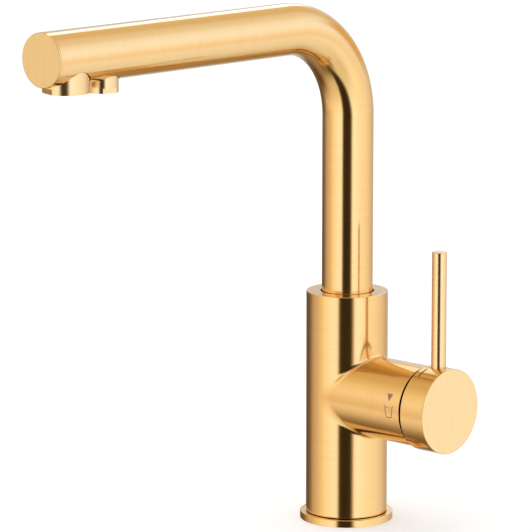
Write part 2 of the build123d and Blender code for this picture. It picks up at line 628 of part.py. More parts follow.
def filter_outlet_seal():
    roof = FILTER_SEAT - NECK_WALL
    top = FILTER_FOOT + INSERT_LIFT + FILTER_INSERT_L
    outer = FILTER_BORE_R - INSERT_FIT
    return turned_ring(Plane((0, FILTER_Y, 0)), outer - SEAL_CORD_D, outer, top, roof)


# ---- Cartridge --------------------------------------------------------------------------------

def cartridge_seal():
    washer = rod(CARTRIDGE_R - SEAL_INSET, (SEAT, 0, HANDLE_Z), (BASE_FACE, 0, HANDLE_Z))
    return washer - port_drills(SEAT - PAST, BASE_FACE + PAST)


def cartridge_base():
    base = turned(HANDLE, [
        (0, BASE_FACE), (CARTRIDGE_R, BASE_FACE), (CARTRIDGE_R, HOUSING_FACE), (POCKET_R, HOUSING_FACE),
        (POCKET_R, POCKET_FLOOR), (0, POCKET_FLOOR)])
    return base - port_drills(BASE_FACE - PAST, POCKET_FLOOR + PAST)


def fixed_disc():
    disc = rod(FIXED_DISC_R, (POCKET_FLOOR, 0, HANDLE_Z), (MOVING_FACE, 0, HANDLE_Z))
    return disc - port_drills(POCKET_FLOOR - PAST, MOVING_FACE + PAST)


def moving_disc():
    """The sliding disc, with a blind chamber in its face that joins the ports."""
    disc = rod(MOVING_DISC_R, (MOVING_FACE, 0, HANDLE_Z), (DRIVER_FACE, 0, HANDLE_Z))
    chamber = Pos(MOVING_FACE, 0, HANDLE_Z) * Box(MOVING_DISC_T, 2 * PASSAGE_D, 2 * MIXED_PORT_RISE)
    return disc - chamber


def disc_driver():
    """The slider behind the moving disc: flats for the rotor's legs and a bore for the ball."""
    driver = rod(MOVING_DISC_R, (DRIVER_FACE, 0, HANDLE_Z), (DRIVER_END, 0, HANDLE_Z))
    flat_start = DRIVER_FACE + DRIVER_FLANGE_T
    length = DRIVER_END - flat_start
    for side in (-1, 1):
        centre = side * (DRIVER_FLAT + MOVING_DISC_R)
        driver -= Pos(flat_start + length, centre, HANDLE_Z) * Box(2 * length, 2 * MOVING_DISC_R,
                                                                  2 * MOVING_DISC_R)
    bore = BALL_D / 2 + BALL_FIT
    start = BALL_U - bore
    return driver - rod(bore, (start, 0, HANDLE_Z), (DRIVER_END + PAST, 0, HANDLE_Z))


def cartridge_housing():
    return turned(HANDLE, [
        (CAVITY_R, HOUSING_FACE), (CARTRIDGE_R, HOUSING_FACE), (CARTRIDGE_R, SHOULDER),
        (NECK_R, SHOULDER), (NECK_R, NECK_END), (ROTOR_BORE_R, NECK_END), (ROTOR_BORE_R, CAVITY_END),
        (CAVITY_R, CAVITY_END)])


def spindle_slot_reach(u):
    """How far the tilted spindle's lower face drops below the handle axis at a distance u."""
    tilt = radians(TILT_MAX)
    return (u - PIVOT_U) * tan(tilt) + SPINDLE_W / 2 / cos(tilt)


def cartridge_rotor():
    rotor = turned(HANDLE, [
        (0, ROTOR_FACE), (ROTOR_FLANGE_R, ROTOR_FACE), (ROTOR_FLANGE_R, FLANGE_END),
        (ROTOR_R, FLANGE_END), (ROTOR_R, NECK_END), (0, NECK_END)])
    # Legs that carry the driver round
    leg_start = DRIVER_FACE + DRIVER_FLANGE_T + LEG_END_GAP
    legs = rod(ROTOR_FLANGE_R - ROTOR_FIT, (leg_start, 0, HANDLE_Z), (ROTOR_FACE, 0, HANDLE_Z))
    legs &= Pos(0, 0, HANDLE_Z) * Box(4 * MOUTH, 4 * MOUTH, LEG_W)
    legs -= Pos(0, 0, HANDLE_Z) * Box(4 * MOUTH, 2 * (DRIVER_FLAT + LEG_FIT), 2 * LEG_W)
    rotor += legs
    # Slot for the tilting spindle, and the pivot pin's hole
    low = -spindle_slot_reach(NECK_END) - SPINDLE_TILT_FIT
    high = SPINDLE_W / 2 + SPINDLE_SHOULDER * sin(radians(TILT_MAX)) + SPINDLE_TILT_FIT
    length = NECK_END - ROTOR_FACE + 2 * PAST
    slot = Box(length, SPINDLE_W + 2 * SPINDLE_SLOT_FIT, high - low)
    rotor -= Pos((ROTOR_FACE + NECK_END) / 2, 0, HANDLE_Z + (high + low) / 2) * slot
    hole = PIN_D / 2 + PIN_FIT
    return rotor - rod(hole, (PIVOT_U, -ROTOR_R, HANDLE_Z), (PIVOT_U, ROTOR_R, HANDLE_Z))


def spindle_pivot_pin():
    end = ROTOR_R - PIN_SHORT
    return rod(PIN_D / 2, (PIVOT_U, -end, HANDLE_Z), (PIVOT_U, end, HANDLE_Z))


def lever_spindle():
    square_start = PIVOT_U - SPINDLE_SHOULDER
    length = SPINDLE_END - square_start
    spindle = Pos(square_start + length / 2, 0, HANDLE_Z) * Box(length, SPINDLE_W, SPINDLE_W)
    spindle += rod(SPINDLE_NECK_D / 2, (BALL_U, 0, HANDLE_Z), (square_start, 0, HANDLE_Z))
    spindle += Pos(BALL_U, 0, HANDLE_Z) * Sphere(BALL_D / 2)
    hole = PIN_D / 2 + PIN_PLAY
    return spindle - rod(hole, (PIVOT_U, -SPINDLE_W, HANDLE_Z), (PIVOT_U, SPINDLE_W, HANDLE_Z))


def cartridge_nut():
    nut = turned_ring(HANDLE, NUT_BORE_R, NUT_R, SHOULDER, SHOULDER + NUT_L)
    for n in range(NUT_NOTCHES):
        notch = Pos(0, NUT_R, SHOULDER + NUT_L) * Box(NUT_NOTCH_W, NUT_BORE_R / 2, 2 * NUT_NOTCH_H)
        nut -= HANDLE.location * Rot(0, 0, 360 * n / NUT_NOTCHES) * notch
    return nut


# ---- Handle -----------------------------------------------------------------------------------

def handle_cap():
    """A cup with a round cavity about the pivot, so that it tilts round the branch mouth, and a hub."""
    lip_r = sqrt(CAP_CAVITY_R ** 2 - (CAP_FACE - PIVOT_U) ** 2)
    root_u = PIVOT_U + sqrt(CAP_CAVITY_R ** 2 - HUB_R ** 2)
    halfway = (atan2(lip_r, CAP_FACE - PIVOT_U) + atan2(HUB_R, root_u - PIVOT_U)) / 2
    crown = (CAP_CAVITY_R * sin(halfway), 0, PIVOT_U + CAP_CAVITY_R * cos(halfway))
    cavity = ThreePointArc((HUB_R, 0, root_u), crown, (lip_r, 0, CAP_FACE))
    skin = Polyline((lip_r, 0, CAP_FACE), (CAP_R, 0, CAP_FACE), (CAP_R, 0, CAP_END - EDGE_BREAK),
                    (CAP_R - EDGE_BREAK, 0, CAP_END), (0, 0, CAP_END), (0, 0, CAP_FACE),
                    (HUB_R, 0, CAP_FACE), (HUB_R, 0, root_u))
    cap = HANDLE.location * revolve(make_face([*skin.edges(), cavity]), Axis.Z)
    width = SPINDLE_W + 2 * SOCKET_FIT
    depth = SPINDLE_END + SOCKET_END_GAP - CAP_FACE
    cap -= Pos(CAP_FACE + (depth - PAST) / 2, 0, HANDLE_Z) * Box(depth + PAST, width, width)
    seat = (LEVER_U, 0, HANDLE_Z + LEVER_SEAT)
    cap -= rod(LEVER_R + LEVER_FIT, seat, (LEVER_U, 0, HANDLE_Z + CAP_R + PAST))
    return cap - rod(LEVER_STUD_D / 2 + THREAD_FIT, (LEVER_U, 0, HANDLE_Z), seat)


def handle_lever():
    place = Plane((LEVER_U, 0, HANDLE_Z))
    stud = LEVER_STUD_D / 2
    return turned(place, [
        (0, LEVER_SEAT - LEVER_STUD_L), (stud, LEVER_SEAT - LEVER_STUD_L), (stud, LEVER_SEAT),
        (LEVER_R, LEVER_SEAT), (LEVER_R, LEVER_LENGTH - LEVER_EDGE), (LEVER_R - LEVER_EDGE, LEVER_LENGTH),
        (0, LEVER_LENGTH)])


def handle_grub_screw():
    foot = HANDLE_Z + GRUB_FOOT
    screw = rod(LEVER_STUD_D / 2, (LEVER_U, 0, foot), (LEVER_U, 0, foot + GRUB_L))
    socket = Pos(LEVER_U, 0, foot + GRUB_L - GRUB_HEX_DEPTH) * RegularPolygon(GRUB_HEX_AF / sqrt(3), 6)
    return screw - extrude(socket, amount=GRUB_HEX_DEPTH)


# ---- Write every part -------------------------------------------------------------------------

PARTS = [
    mixer_body, base_ring, base_gasket, connection_block,
    spout_tube, spout_end_cap, spout_spigot, spout_o_rings, spout_glide_ring, spout_retaining_screw,
    filter_pipe, filter_pipe_nipple, filter_nipple_o_ring, outlet_manifold,
    main_outlet_sleeve, main_aerator, aerator_disperser, main_aerator_seal,
    filter_outlet_sleeve, filter_flow_insert, filter_outlet_seal,
    cartridge_seal, cartridge_base, fixed_disc, moving_disc, disc_driver, cartridge_housing,
    cartridge_rotor, spindle_pivot_pin, lever_spindle, cartridge_nut,
    handle_cap, handle_lever, handle_grub_screw,
]

os.makedirs("parts", exist_ok=True)
for make in PARTS:
    export_step(make(), f"parts/{make.__name__}.step")
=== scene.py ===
# %% [markdown]
# # A brushed-gold three-way kitchen tap
#
# The tap stands on its ring: an upright column with a side branch, a lever on the branch's cap,
# and a tube spout that turns in the column's top. Everything here is turned or bent round metal,
# so its looks live in two things: clean reflections and the fine lines of the brushing.
#
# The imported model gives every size. The visible skins are made again as smooth surfaces, because
# a facetted tube breaks up the long reflections that make polished metal look real.

# %% Load the frame
import json
from math import acos, atan2, cos, pi, radians, sin, sqrt

import bpy
import numpy as np
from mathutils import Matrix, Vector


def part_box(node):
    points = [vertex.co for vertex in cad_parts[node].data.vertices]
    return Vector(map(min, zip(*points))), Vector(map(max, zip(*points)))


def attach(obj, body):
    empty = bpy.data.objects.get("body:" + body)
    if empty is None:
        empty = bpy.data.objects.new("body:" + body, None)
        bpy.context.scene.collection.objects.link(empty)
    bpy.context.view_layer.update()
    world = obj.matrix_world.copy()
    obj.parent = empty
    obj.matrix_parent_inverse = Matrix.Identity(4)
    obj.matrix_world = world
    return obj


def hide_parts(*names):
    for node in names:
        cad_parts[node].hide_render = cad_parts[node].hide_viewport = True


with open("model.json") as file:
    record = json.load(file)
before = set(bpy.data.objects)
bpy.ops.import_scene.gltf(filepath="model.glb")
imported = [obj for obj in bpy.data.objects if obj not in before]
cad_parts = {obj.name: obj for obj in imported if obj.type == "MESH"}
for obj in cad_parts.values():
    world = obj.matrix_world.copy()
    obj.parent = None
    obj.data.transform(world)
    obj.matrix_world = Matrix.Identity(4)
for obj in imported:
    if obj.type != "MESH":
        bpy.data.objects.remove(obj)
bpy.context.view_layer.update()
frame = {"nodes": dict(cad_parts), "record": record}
MM = 0.001

# %% [markdown]
# ## Sizes from the frame
#
# A box round a node gives radii and heights without typing them again. What a box can't show,
# such as the bend's radius or a wall, is a named value in millimetres.

# %% Measure the nodes
def corners_of(node):
    """A node's lowest and highest corner as arrays."""
    low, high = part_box(node)
    return np.array(low), np.array(high)


body_low, body_high = corners_of("mixer_body")
BODY_R, BODY_TOP, MOUTH_X = body_high[1], body_high[2], body_high[0]
ring_high = corners_of("base_ring")[1]
RING_R, RING_TOP = ring_high[0], ring_high[2]
cap_low, cap_high = corners_of("handle_cap")
CAP_R, CAP_FACE, CAP_END = (cap_high[2] - cap_low[2]) / 2, cap_low[0], cap_high[0]
HANDLE_Z = (cap_high[2] + cap_low[2]) / 2
lever_low, lever_high = corners_of("handle_lever")
LEVER_R, LEVER_TOP = lever_high[1], lever_high[2]
LEVER_X = (lever_low[0] + lever_high[0]) / 2
tube_low, tube_high = corners_of("spout_tube")
TUBE_R, TUBE_FOOT, TUBE_END = tube_high[0], tube_low[2], -tube_low[1]
SPOUT_Z = tube_high[2] - TUBE_R
SPOUT_REACH = -corners_of("spout_end_cap")[0][1]

BEND_R = 51.0 * MM
TUBE_WALL = 1.2 * MM
BRANCH_R = CAP_R - 1.05 * MM
EDGE = 0.4 * MM             # rounding of the visible rims
FINE_EDGE = 0.15 * MM       # rounding where two pieces meet in a hairline
# A rounding takes its own radius off each leg of a square corner. Where a leg is exactly that
# long, the rounding is a hair smaller, so that a leg is left.
EDGE_IN_LEG = 0.999 * EDGE
FINE_EDGE_IN_LEG = 0.99 * FINE_EDGE
# Slot 1 is a near-black gold: painted shade in gaps, bores and seams.
PAINTED_SHADE = 1                  # material slot of surfaces hidden in gaps and bores
# Slot 2 is the end faces' gold, painted paler as lit.
LIT_END_FACE = 2                # material slot of straight-brushed end faces
print("column", round(2000 * BODY_R, 2), "mm, branch axis at", round(1000 * HANDLE_Z, 2), "mm")

# %% [markdown]
# ## A surface kit
#
# Each skin is a quilt of grids. A grid is an array of points worked out by a formula, together
# with the surface's true normals and a third array, the grain: coordinates that the brushing
# follows, whatever way the piece points. Storing true normals keeps a long reflection straight
# across the place where two grids meet.

# %% Axes and points
X_AXIS, Y_AXIS, Z_AXIS = np.eye(3)


def stacked(*parts):
    """Coordinates side by side on a last axis. A plain number stands for an array of it."""
    return np.stack(np.broadcast_arrays(*parts), axis=-1)


def spokes(angles, x, y):
    """Directions square to an axis: cos(angle) x + sin(angle) y."""
    return np.cos(angles)[..., None] * x + np.sin(angles)[..., None] * y


def tube_grain(radius, angles, along):
    """The brushing's coordinates on a round piece: (r cos(angle), r sin(angle), length along)."""
    return stacked(radius * np.cos(angles), radius * np.sin(angles), along)


def upright_at(x, y):
    """An upright axis through (x, y), as (origin, x, y, z) with angle 0 to the handle's side."""
    return np.array([x, y, 0]), X_AXIS, Y_AXIS, Z_AXIS


UPRIGHT = upright_at(0, 0)
HANDLE_AXIS = (np.array([0, 0, HANDLE_Z]), Z_AXIS, Y_AXIS, X_AXIS)     # angle 0 is straight up
SPOUT_RUN = (np.array([0, 0, SPOUT_Z]), Z_AXIS, X_AXIS, -Y_AXIS)       # angle 0 is straight up
ROUND = np.linspace(0, 2 * pi, 193)
print("a full round is", len(ROUND) - 1, "steps of", round(360 / (len(ROUND) - 1), 3), "degrees")

# %% Skins made of grids
WELD = 1e-6                 # corners in one cell of this size become one vertex
WELD_SHIFT = 0.123          # keeps round numbers away from the cells' borders


class Skin:
    """Collects grids of one surface and welds them into one mesh."""

    def __init__(self):
        """Starts with no grids: lists of each grid's arrays, and how many points they hold."""
        self.points, self.normals, self.grain, self.quads, self.finish = [], [], [], [], []
        self.count = 0

    def add(self, points, normals, grain, keep=None, finish=0):
        """Adds a grid of shape (rows, columns, 3). keep marks the cells that are wanted, and
        finish is the material slot they take."""
        rows, columns = points.shape[:2]
        index = self.count + np.arange(rows * columns).reshape(rows, columns)
        cells = np.stack([index[:-1, :-1], index[:-1, 1:], index[1:, 1:], index[1:, :-1]], axis=-1)
        cells = cells.reshape(-1, 4) if keep is None else cells[keep]
        self.points.append(points.reshape(-1, 3))
        self.normals.append(np.broadcast_to(normals, points.shape).reshape(-1, 3))
        self.grain.append(np.broadcast_to(grain, points.shape).reshape(-1, 3))
        self.quads.append(cells)
        self.finish.append(np.full(len(cells), finish, dtype=np.int32))
        self.count += rows * columns

    def build(self, name):
        """Welds points closer than a micrometre, turns every face to its normals' side, and
        drops the corners that a pole pinches together."""
        points, normals = np.concatenate(self.points), np.concatenate(self.normals)
        grain, quads = np.concatenate(self.grain), np.concatenate(self.quads)
        finish = np.concatenate(self.finish)
        keys = np.round(points / WELD + WELD_SHIFT).astype(np.int64)
        _, first, weld = np.unique(keys, axis=0, return_index=True, return_inverse=True)
        weld = weld.reshape(-1)
        a, b, c, d = (points[quads[:, k]] for k in range(4))
        inward = (np.cross(c - a, d - b) * normals[quads].mean(axis=1)).sum(axis=1) < 0
        quads[inward] = quads[inward][:, ::-1]
        welded = weld[quads]
        corner = welded != np.roll(welded, 1, axis=1)
        whole = corner.sum(axis=1) >= 3
        quads, welded, corner, finish = quads[whole], welded[whole], corner[whole], finish[whole]
        sides = corner.sum(axis=1)

        mesh = bpy.data.meshes.new(name)
        mesh.vertices.add(len(first))
        mesh.vertices.foreach_set("co", points[first].astype(np.float32).ravel())
        mesh.loops.add(int(sides.sum()))
        mesh.loops.foreach_set("vertex_index", welded[corner].astype(np.int32))
        mesh.polygons.add(len(sides))
        mesh.polygons.foreach_set("loop_start", (np.cumsum(sides) - sides).astype(np.int32))
        mesh.polygons.foreach_set("use_smooth", np.ones(len(sides), dtype=bool))
        mesh.polygons.foreach_set("material_index", finish)
        lines = mesh.attributes.new("grain", "FLOAT_VECTOR", "CORNER")
        lines.data.foreach_set("vector", grain[quads[corner]].astype(np.float32).ravel())
        mesh.update()
        mesh.normals_split_custom_set(normals[quads[corner]].tolist())
        piece = bpy.data.objects.new(name, mesh)
        bpy.context.scene.collection.objects.link(piece)
        print(f"{name}: {len(first)} points, {len(sides)} faces")
        return piece


# %% [markdown]
# ## Turned shapes
#
# A lathe sweeps a profile round an axis. The profile is a short list of (radius, height) corners,
# walked so that the metal is on the left and the air on the right. Each corner may be rounded,
# and each straight or round run becomes its own grid, so an edge stays as crisp as it should be.

# %% Profiles and turning
ARC_STEPS = 6               # cells across a rounded edge


def profile_runs(corners, rounding):
    """Splits a profile into runs of (points, tangents). A corner with a rounding is replaced by
    an arc that is tangent to both its legs: it starts rounding * tan(turn / 2) before the corner
    and sweeps the same turn as the corner does."""
    corners = [np.array(c, float) for c in corners]
    runs, start = [], corners[0]
    for i in range(1, len(corners)):
        here = corners[i]
        into = (here - start) / np.linalg.norm(here - start)
        radius = rounding.get(i, 0.0)
        if i == len(corners) - 1 or radius == 0:
            runs.append((np.array([start, here]), np.array([into, into])))
            start = here
            continue
        out = corners[i + 1] - here
        out = out / np.linalg.norm(out)
        turn = atan2(into[0] * out[1] - into[1] * out[0], into @ out)
        trim = radius * np.tan(abs(turn) / 2)
        first = here - into * trim
        runs.append((np.array([start, first]), np.array([into, into])))
        bend = np.linspace(0, turn, ARC_STEPS + 1)
        tangents = stacked(into[0] * np.cos(bend) - into[1] * np.sin(bend),
                           into[0] * np.sin(bend) + into[1] * np.cos(bend))
        side = np.sign(turn)
        centre = first + radius * side * np.array([-into[1], into[0]])
        outwards = side * stacked(tangents[:, 1], -tangents[:, 0])
        runs.append((centre + radius * outwards, tangents))
        start = here + out * trim
    return runs


def turned(skin, place, corners, rounding, angles, grain_shift=0.0, finish=0):
    """Adds a turned surface. place is (origin, x, y, z). A point is
    origin + r cos(a) x + r sin(a) y + h z, its normal leans outwards by the profile's tangent,
    and its grain is (r cos(a), r sin(a), length along the profile)."""
    origin, x, y, z = place
    spoke = spokes(angles, x, y)
    length = grain_shift
    for points, tangents in profile_runs(corners, rounding):
        r, h = points[:, 0, None, None], points[:, 1, None, None]
        surface = origin + r * spoke + h * z
        normals = tangents[:, 1, None, None] * spoke - tangents[:, 0, None, None] * z
        steps = np.linalg.norm(np.diff(points, axis=0), axis=1)
        along = length + np.concatenate([[0], np.cumsum(steps)])
        length = along[-1]
        grain = tube_grain(points[:, :1], angles, along[:, None])
        skin.add(surface, normals, grain, finish=finish)


square_edge = profile_runs([(0, 0), (EDGE * 2, 0), (EDGE * 2, EDGE * 2)], {1: EDGE})
print("a square edge becomes runs of", [len(points) for points, _ in square_edge], "points")


# %% [markdown]
# ## Tubes with holes
#
# Where a branch, an outlet or a lever leaves a tube, the grid needs a hole of just the right
# shape. A rectangle of cells is left out, and a ring of cells joins the rectangle to the hole's
# own curve. Both live in the tube's (angle, length) coordinates, so every point is on the tube.

# %% Samples along a side
ANGLE_STEP, FINE_ANGLE_STEP = radians(1.9), radians(1.4)    # round the column and spout, the cap
LENGTH_STEP, FINE_LENGTH_STEP = 1.2 * MM, 0.8 * MM          # along them


def breaks(stops, step):
    """Samples that include every stop, at most step apart."""
    runs = []
    for a, b in zip(stops, stops[1:]):
        runs.append(np.linspace(a, b, max(1, int(np.ceil((b - a) / step))) + 1)[:-1])
    return np.concatenate(runs + [[stops[-1]]])


print("samples round the column:", len(breaks([-pi, pi], ANGLE_STEP)) - 1)

# %% Windows in a tube
WINDOW_ROWS = np.array([0, 0.04, 0.12, 0.25, 0.42, 0.6, 0.8, 1.0])     # from hole to rectangle
SAME = 1e-9                 # slack for finding a stop among the samples


def window_rim(a_side, b_side):
    """The rectangle's samples in order round it, and each one's bearing from its centre: the
    angle whose sine runs along a and whose cosine runs along b."""
    a_low, a_high, b_low, b_high = a_side[0], a_side[-1], b_side[0], b_side[-1]
    a = np.concatenate([a_side, np.full(len(b_side) - 1, a_high), a_side[-2::-1],
                        np.full(len(b_side) - 1, a_low)])
    b = np.concatenate([np.full(len(a_side), b_low), b_side[1:], np.full(len(a_side) - 1, b_high),
                        b_side[-2::-1]])
    across = (a - (a_low + a_high) / 2) / (a_high - a_low)
    along = (b - (b_low + b_high) / 2) / (b_high - b_low)
    return a, b, np.unwrap(np.arctan2(across, along))


def quilt(skin, surface, a_samples, b_samples, windows, finish=0):
    """Adds a tube given by surface(a, b) -> (points, normals, grain), less its windows. A window
    is ((a low, a high), (b low, b high), curve), where curve(bearing) -> (a, b) is the hole. The
    ring's points run straight from curve to rectangle in (a, b). Returns each window's bearings."""
    grid_a, grid_b = np.meshgrid(a_samples, b_samples)
    keep = np.ones((len(b_samples) - 1, len(a_samples) - 1), dtype=bool)
    bearings = []
    for (a_low, a_high), (b_low, b_high), curve in windows:
        i, j = np.searchsorted(a_samples, [a_low - SAME, a_high - SAME])
        k, m = np.searchsorted(b_samples, [b_low - SAME, b_high - SAME])
        keep[k:m, i:j] = False
        rim_a, rim_b, bearing = window_rim(a_samples[i:j + 1], b_samples[k:m + 1])
        hole_a, hole_b = curve(bearing)
        t = WINDOW_ROWS[:, None]
        ring = surface(hole_a + t * (rim_a - hole_a), hole_b + t * (rim_b - hole_b))
        skin.add(*ring, finish=finish)
        bearings.append(bearing)
    skin.add(*surface(grid_a, grid_b), keep=keep, finish=finish)
    return bearings


def cylinder(place, radius):
    """The surface of a straight tube: a is the angle round it and b the height along it."""
    origin, x, y, z = place

    def surface(a, b):
        """origin + radius * spoke(a) + b z, with the spoke as its normal."""
        spoke = spokes(a, x, y)
        return origin + radius * spoke + b[..., None] * z, spoke, tube_grain(radius, a, b)

    return surface


def round_hole(centre_angle, centre_height, hole_r, tube_r):
    """A round hole drilled square into a tube, as a curve for a window."""
    def curve(bearing):
        """Sideways it is hole_r sin(bearing) off the axis: an angle of asin(that / tube_r)."""
        return (centre_angle + np.arcsin(hole_r * np.sin(bearing) / tube_r),
                centre_height + hole_r * np.cos(bearing))
    return curve


print("a window's ring has", len(WINDOW_ROWS) - 1, "rows, finest at the hole")


# %% [markdown]
# ## The column and its side branch
#
# The real body is one casting: two tubes of nearly one size that run into each other. The corner
# between them is crisp above and below, and polished out wide and soft at the sides, where the
# tubes meet almost flush. A boolean would leave ragged triangles on the very place the eye goes
# to. Instead, a strip crosses the corner: it leaves the column and joins the branch without a
# kink, and how far it reaches to each side is a choice that changes round the branch.

# %% The strip across the corner
CORNER_REACH = 1.7 * MM     # the strip's reach above and below the branch
SIDE_REACH = 3.6 * MM       # its reach at the sides
REACH_POWER = 4             # how fast the one becomes the other: |sin(bearing)| to this power
STRIP_ROWS, BRANCH_ROWS = 17, 12


def corner_frame(bearing):
    """Points and directions along the corner. The tubes cross at y = r sin, z = r cos,
    x = sqrt(R^2 - y^2). Unrolled, the column's side of it is the curve (R asin(y / R), z), and
    the way off it is square to its slope."""
    widening = np.abs(np.sin(bearing)) ** REACH_POWER
    reach = CORNER_REACH + (SIDE_REACH - CORNER_REACH) * widening
    y, z = BRANCH_R * np.sin(bearing), BRANCH_R * np.cos(bearing)
    x = np.sqrt(BODY_R ** 2 - y ** 2)
    slope_arc, slope_z = BRANCH_R * np.cos(bearing) * BODY_R / x, -BRANCH_R * np.sin(bearing)
    length = np.hypot(slope_arc, slope_z)
    off_arc, off_z = -slope_z / length, slope_arc / length
    angle = np.arcsin(y / BODY_R) + reach * off_arc / BODY_R
    height = z + reach * off_z
    return reach, (x, y, z), (angle, height), (off_arc, off_z)


def branch_hole(bearing):
    """Where the strip leaves the column, as (angle, height)."""
    _, _, (angle, height), _ = corner_frame(bearing)
    return angle, HANDLE_Z + height


for place, bearing in (("above", 0.0), ("at the side", pi / 2)):
    print("the strip reaches", round(corner_frame(bearing)[0] / MM, 2), "mm", place)

# %% Column sizes
FOOT_LIFT = body_low[2]
FOOT_R = BODY_R - 3.5 * MM
CHAMBER_R = FOOT_R - 2.5 * MM
CHAMBER_TOP = corners_of("connection_block")[1][2]
COLLAR_R = TUBE_R + 0.8 * MM
COLLAR_FLOOR = BODY_TOP - 3.0 * MM
BORE_R = 12.0 * MM
BORE_FLOOR = BODY_TOP - 28.5 * MM
MOUTH_BORE_R = BRANCH_R - 3.25 * MM
NUT_SEAT_X = MOUTH_X - 13.5 * MM
# A real recess at the branch's mouth, whose walls are painted dark: the line beside the cap is real
# shade and painted shadow.
NECK_LENGTH = 1.1 * MM      # the shadow line at the branch's mouth
NECK_DEPTH = 1.6 * MM
NECK_END = MOUTH_X + 1.3 * MM       # past the gap, so no light shows through it
CARTRIDGE_BORE_R = MOUTH_BORE_R - 1.35 * MM
CARTRIDGE_SEAT_X = NUT_SEAT_X - 27.0 * MM
screw_low, screw_high = corners_of("spout_retaining_screw")
SCREW_Z = (screw_low[2] + screw_high[2]) / 2
SCREW_HOLE_R = (screw_high[0] - screw_low[0]) / 2 + 0.05 * MM
SIDE_MARGIN = 1.0 * MM      # a tube's plain side stops this far from its ends
print("collar", round(2 * COLLAR_R / MM, 2), "mm wide, mouth", round(2 * MOUTH_BORE_R / MM, 2),
      "mm, set screw at", round(SCREW_Z / MM, 2), "mm up")

# %% The column's tube
BRANCH_HALF, SCREW_HALF = radians(95), radians(12)          # half the windows' angles
BRANCH_REACH = BRANCH_R + CORNER_REACH + 1.5 * MM           # half their heights
SCREW_REACH = 2 * SCREW_HOLE_R
BACK = pi / 2                                               # where the screw is


def column_skin():
    """The column, the branch and the strip between, with collar, mouth, chamber and screw hole.
    The tube has a window for each hole, and the rest is turned round its axis."""
    skin = Skin()
    angles = breaks([-pi, -BRANCH_HALF, BACK - SCREW_HALF, BRANCH_HALF, BACK + SCREW_HALF, pi],
                    ANGLE_STEP)
    side_low, side_high = RING_TOP + SIDE_MARGIN, BODY_TOP - SIDE_MARGIN
    branch_span = (HANDLE_Z - BRANCH_REACH, HANDLE_Z + BRANCH_REACH)
    screw_span = (SCREW_Z - SCREW_REACH, SCREW_Z + SCREW_REACH)
    heights = breaks([side_low, *branch_span, *screw_span, side_high], LENGTH_STEP)
    windows = [
        ((-BRANCH_HALF, BRANCH_HALF), branch_span, branch_hole),
        ((BACK - SCREW_HALF, BACK + SCREW_HALF), screw_span,
         round_hole(BACK, SCREW_Z, SCREW_HOLE_R, BODY_R)),
    ]
    around_branch, around_screw = quilt(skin, cylinder(UPRIGHT, BODY_R), angles, heights, windows)
    collar_edge = BODY_TOP - 2 * FINE_EDGE
    turned(skin, UPRIGHT, [
        (BODY_R, side_high), (BODY_R, BODY_TOP), (COLLAR_R, BODY_TOP), (COLLAR_R, collar_edge)],
        {1: EDGE, 2: FINE_EDGE}, angles, side_high)
    # The collar's groove and the bore below it are painted dark as shade round the spout's foot.
    turned(skin, UPRIGHT, [
        (COLLAR_R, collar_edge), (COLLAR_R, COLLAR_FLOOR), (BORE_R, COLLAR_FLOOR),
        (BORE_R, BORE_FLOOR), (0, BORE_FLOOR)], {}, angles, finish=PAINTED_SHADE)
    # The chamber, the foot and the chamfer at the column's lowest rim take the painted shade slot: on
    # the chamfer it is a painted shadow line at the seam with the ring.
    foot_edge = RING_TOP + EDGE
    turned(skin, UPRIGHT, [
        (0, CHAMBER_TOP), (CHAMBER_R, CHAMBER_TOP), (CHAMBER_R, FOOT_LIFT), (FOOT_R, FOOT_LIFT),
        (FOOT_R, RING_TOP), (BODY_R - EDGE, RING_TOP), (BODY_R, foot_edge)], {}, angles, finish=PAINTED_SHADE)
    turned(skin, UPRIGHT, [(BODY_R, foot_edge), (BODY_R, side_low)], {}, angles)
    add_branch(skin, around_branch, add_corner(skin, around_branch))
    add_screw_hole(skin, around_screw)
    return skin.build("column")


print("window for the branch:", round(2 * BRANCH_REACH / MM, 2), "mm high, for the screw:",
      round(2 * SCREW_REACH / MM, 2), "mm")


# %% The corner and the branch
def add_corner(skin, bearing):
    """The strip is a cubic Bezier at each bearing. Its handles lie along the column and along the
    branch, and are reach * 4/3 tan(turn / 4) / tan(turn / 2) long, as for an arc of that turn.
    Its normal is the cross product of the way across the strip and the way along it. Returns
    where the strip ends on the branch."""
    reach, corner, (angle, height), (off_arc, off_z) = corner_frame(bearing)
    from_column = stacked(BODY_R * np.cos(angle), BODY_R * np.sin(angle), height)
    to_branch = stacked(corner[0] + reach, corner[1], corner[2])
    column_out = stacked(np.cos(angle), np.sin(angle), 0)
    branch_out = stacked(0, np.sin(bearing), np.cos(bearing))
    inward = -stacked(-off_arc * np.sin(angle), off_arc * np.cos(angle), off_z)
    turn = np.arccos(np.clip(inward @ X_AXIS, -1, 1))[:, None]
    handle = reach[:, None] * 4 / 3 * np.tan(turn / 4) / np.tan(turn / 2)
    first, second = from_column + handle * inward, to_branch - handle * X_AXIS
    t = np.linspace(0, 1, STRIP_ROWS)[:, None, None]
    points = ((1 - t) ** 3 * from_column + 3 * t * (1 - t) ** 2 * first
              + 3 * t ** 2 * (1 - t) * second + t ** 3 * to_branch)
    across = ((1 - t) ** 2 * (first - from_column) + 2 * t * (1 - t) * (second - first)
              + t ** 2 * (to_branch - second))
    wrapped = np.concatenate([points[:, -2:-1], points, points[:, 1:2]], axis=1)
    normals = np.cross(wrapped[:, 2:] - wrapped[:, :-2], across)
    normals /= np.linalg.norm(normals, axis=-1, keepdims=True)
    normals *= np.sign((normals * (column_out + branch_out)).sum(axis=-1, keepdims=True))
    normals[0], normals[-1] = column_out, branch_out
    skin.add(points + HANDLE_AXIS[0], normals, tube_grain(BRANCH_R, bearing, points[..., 0]))
    return to_branch


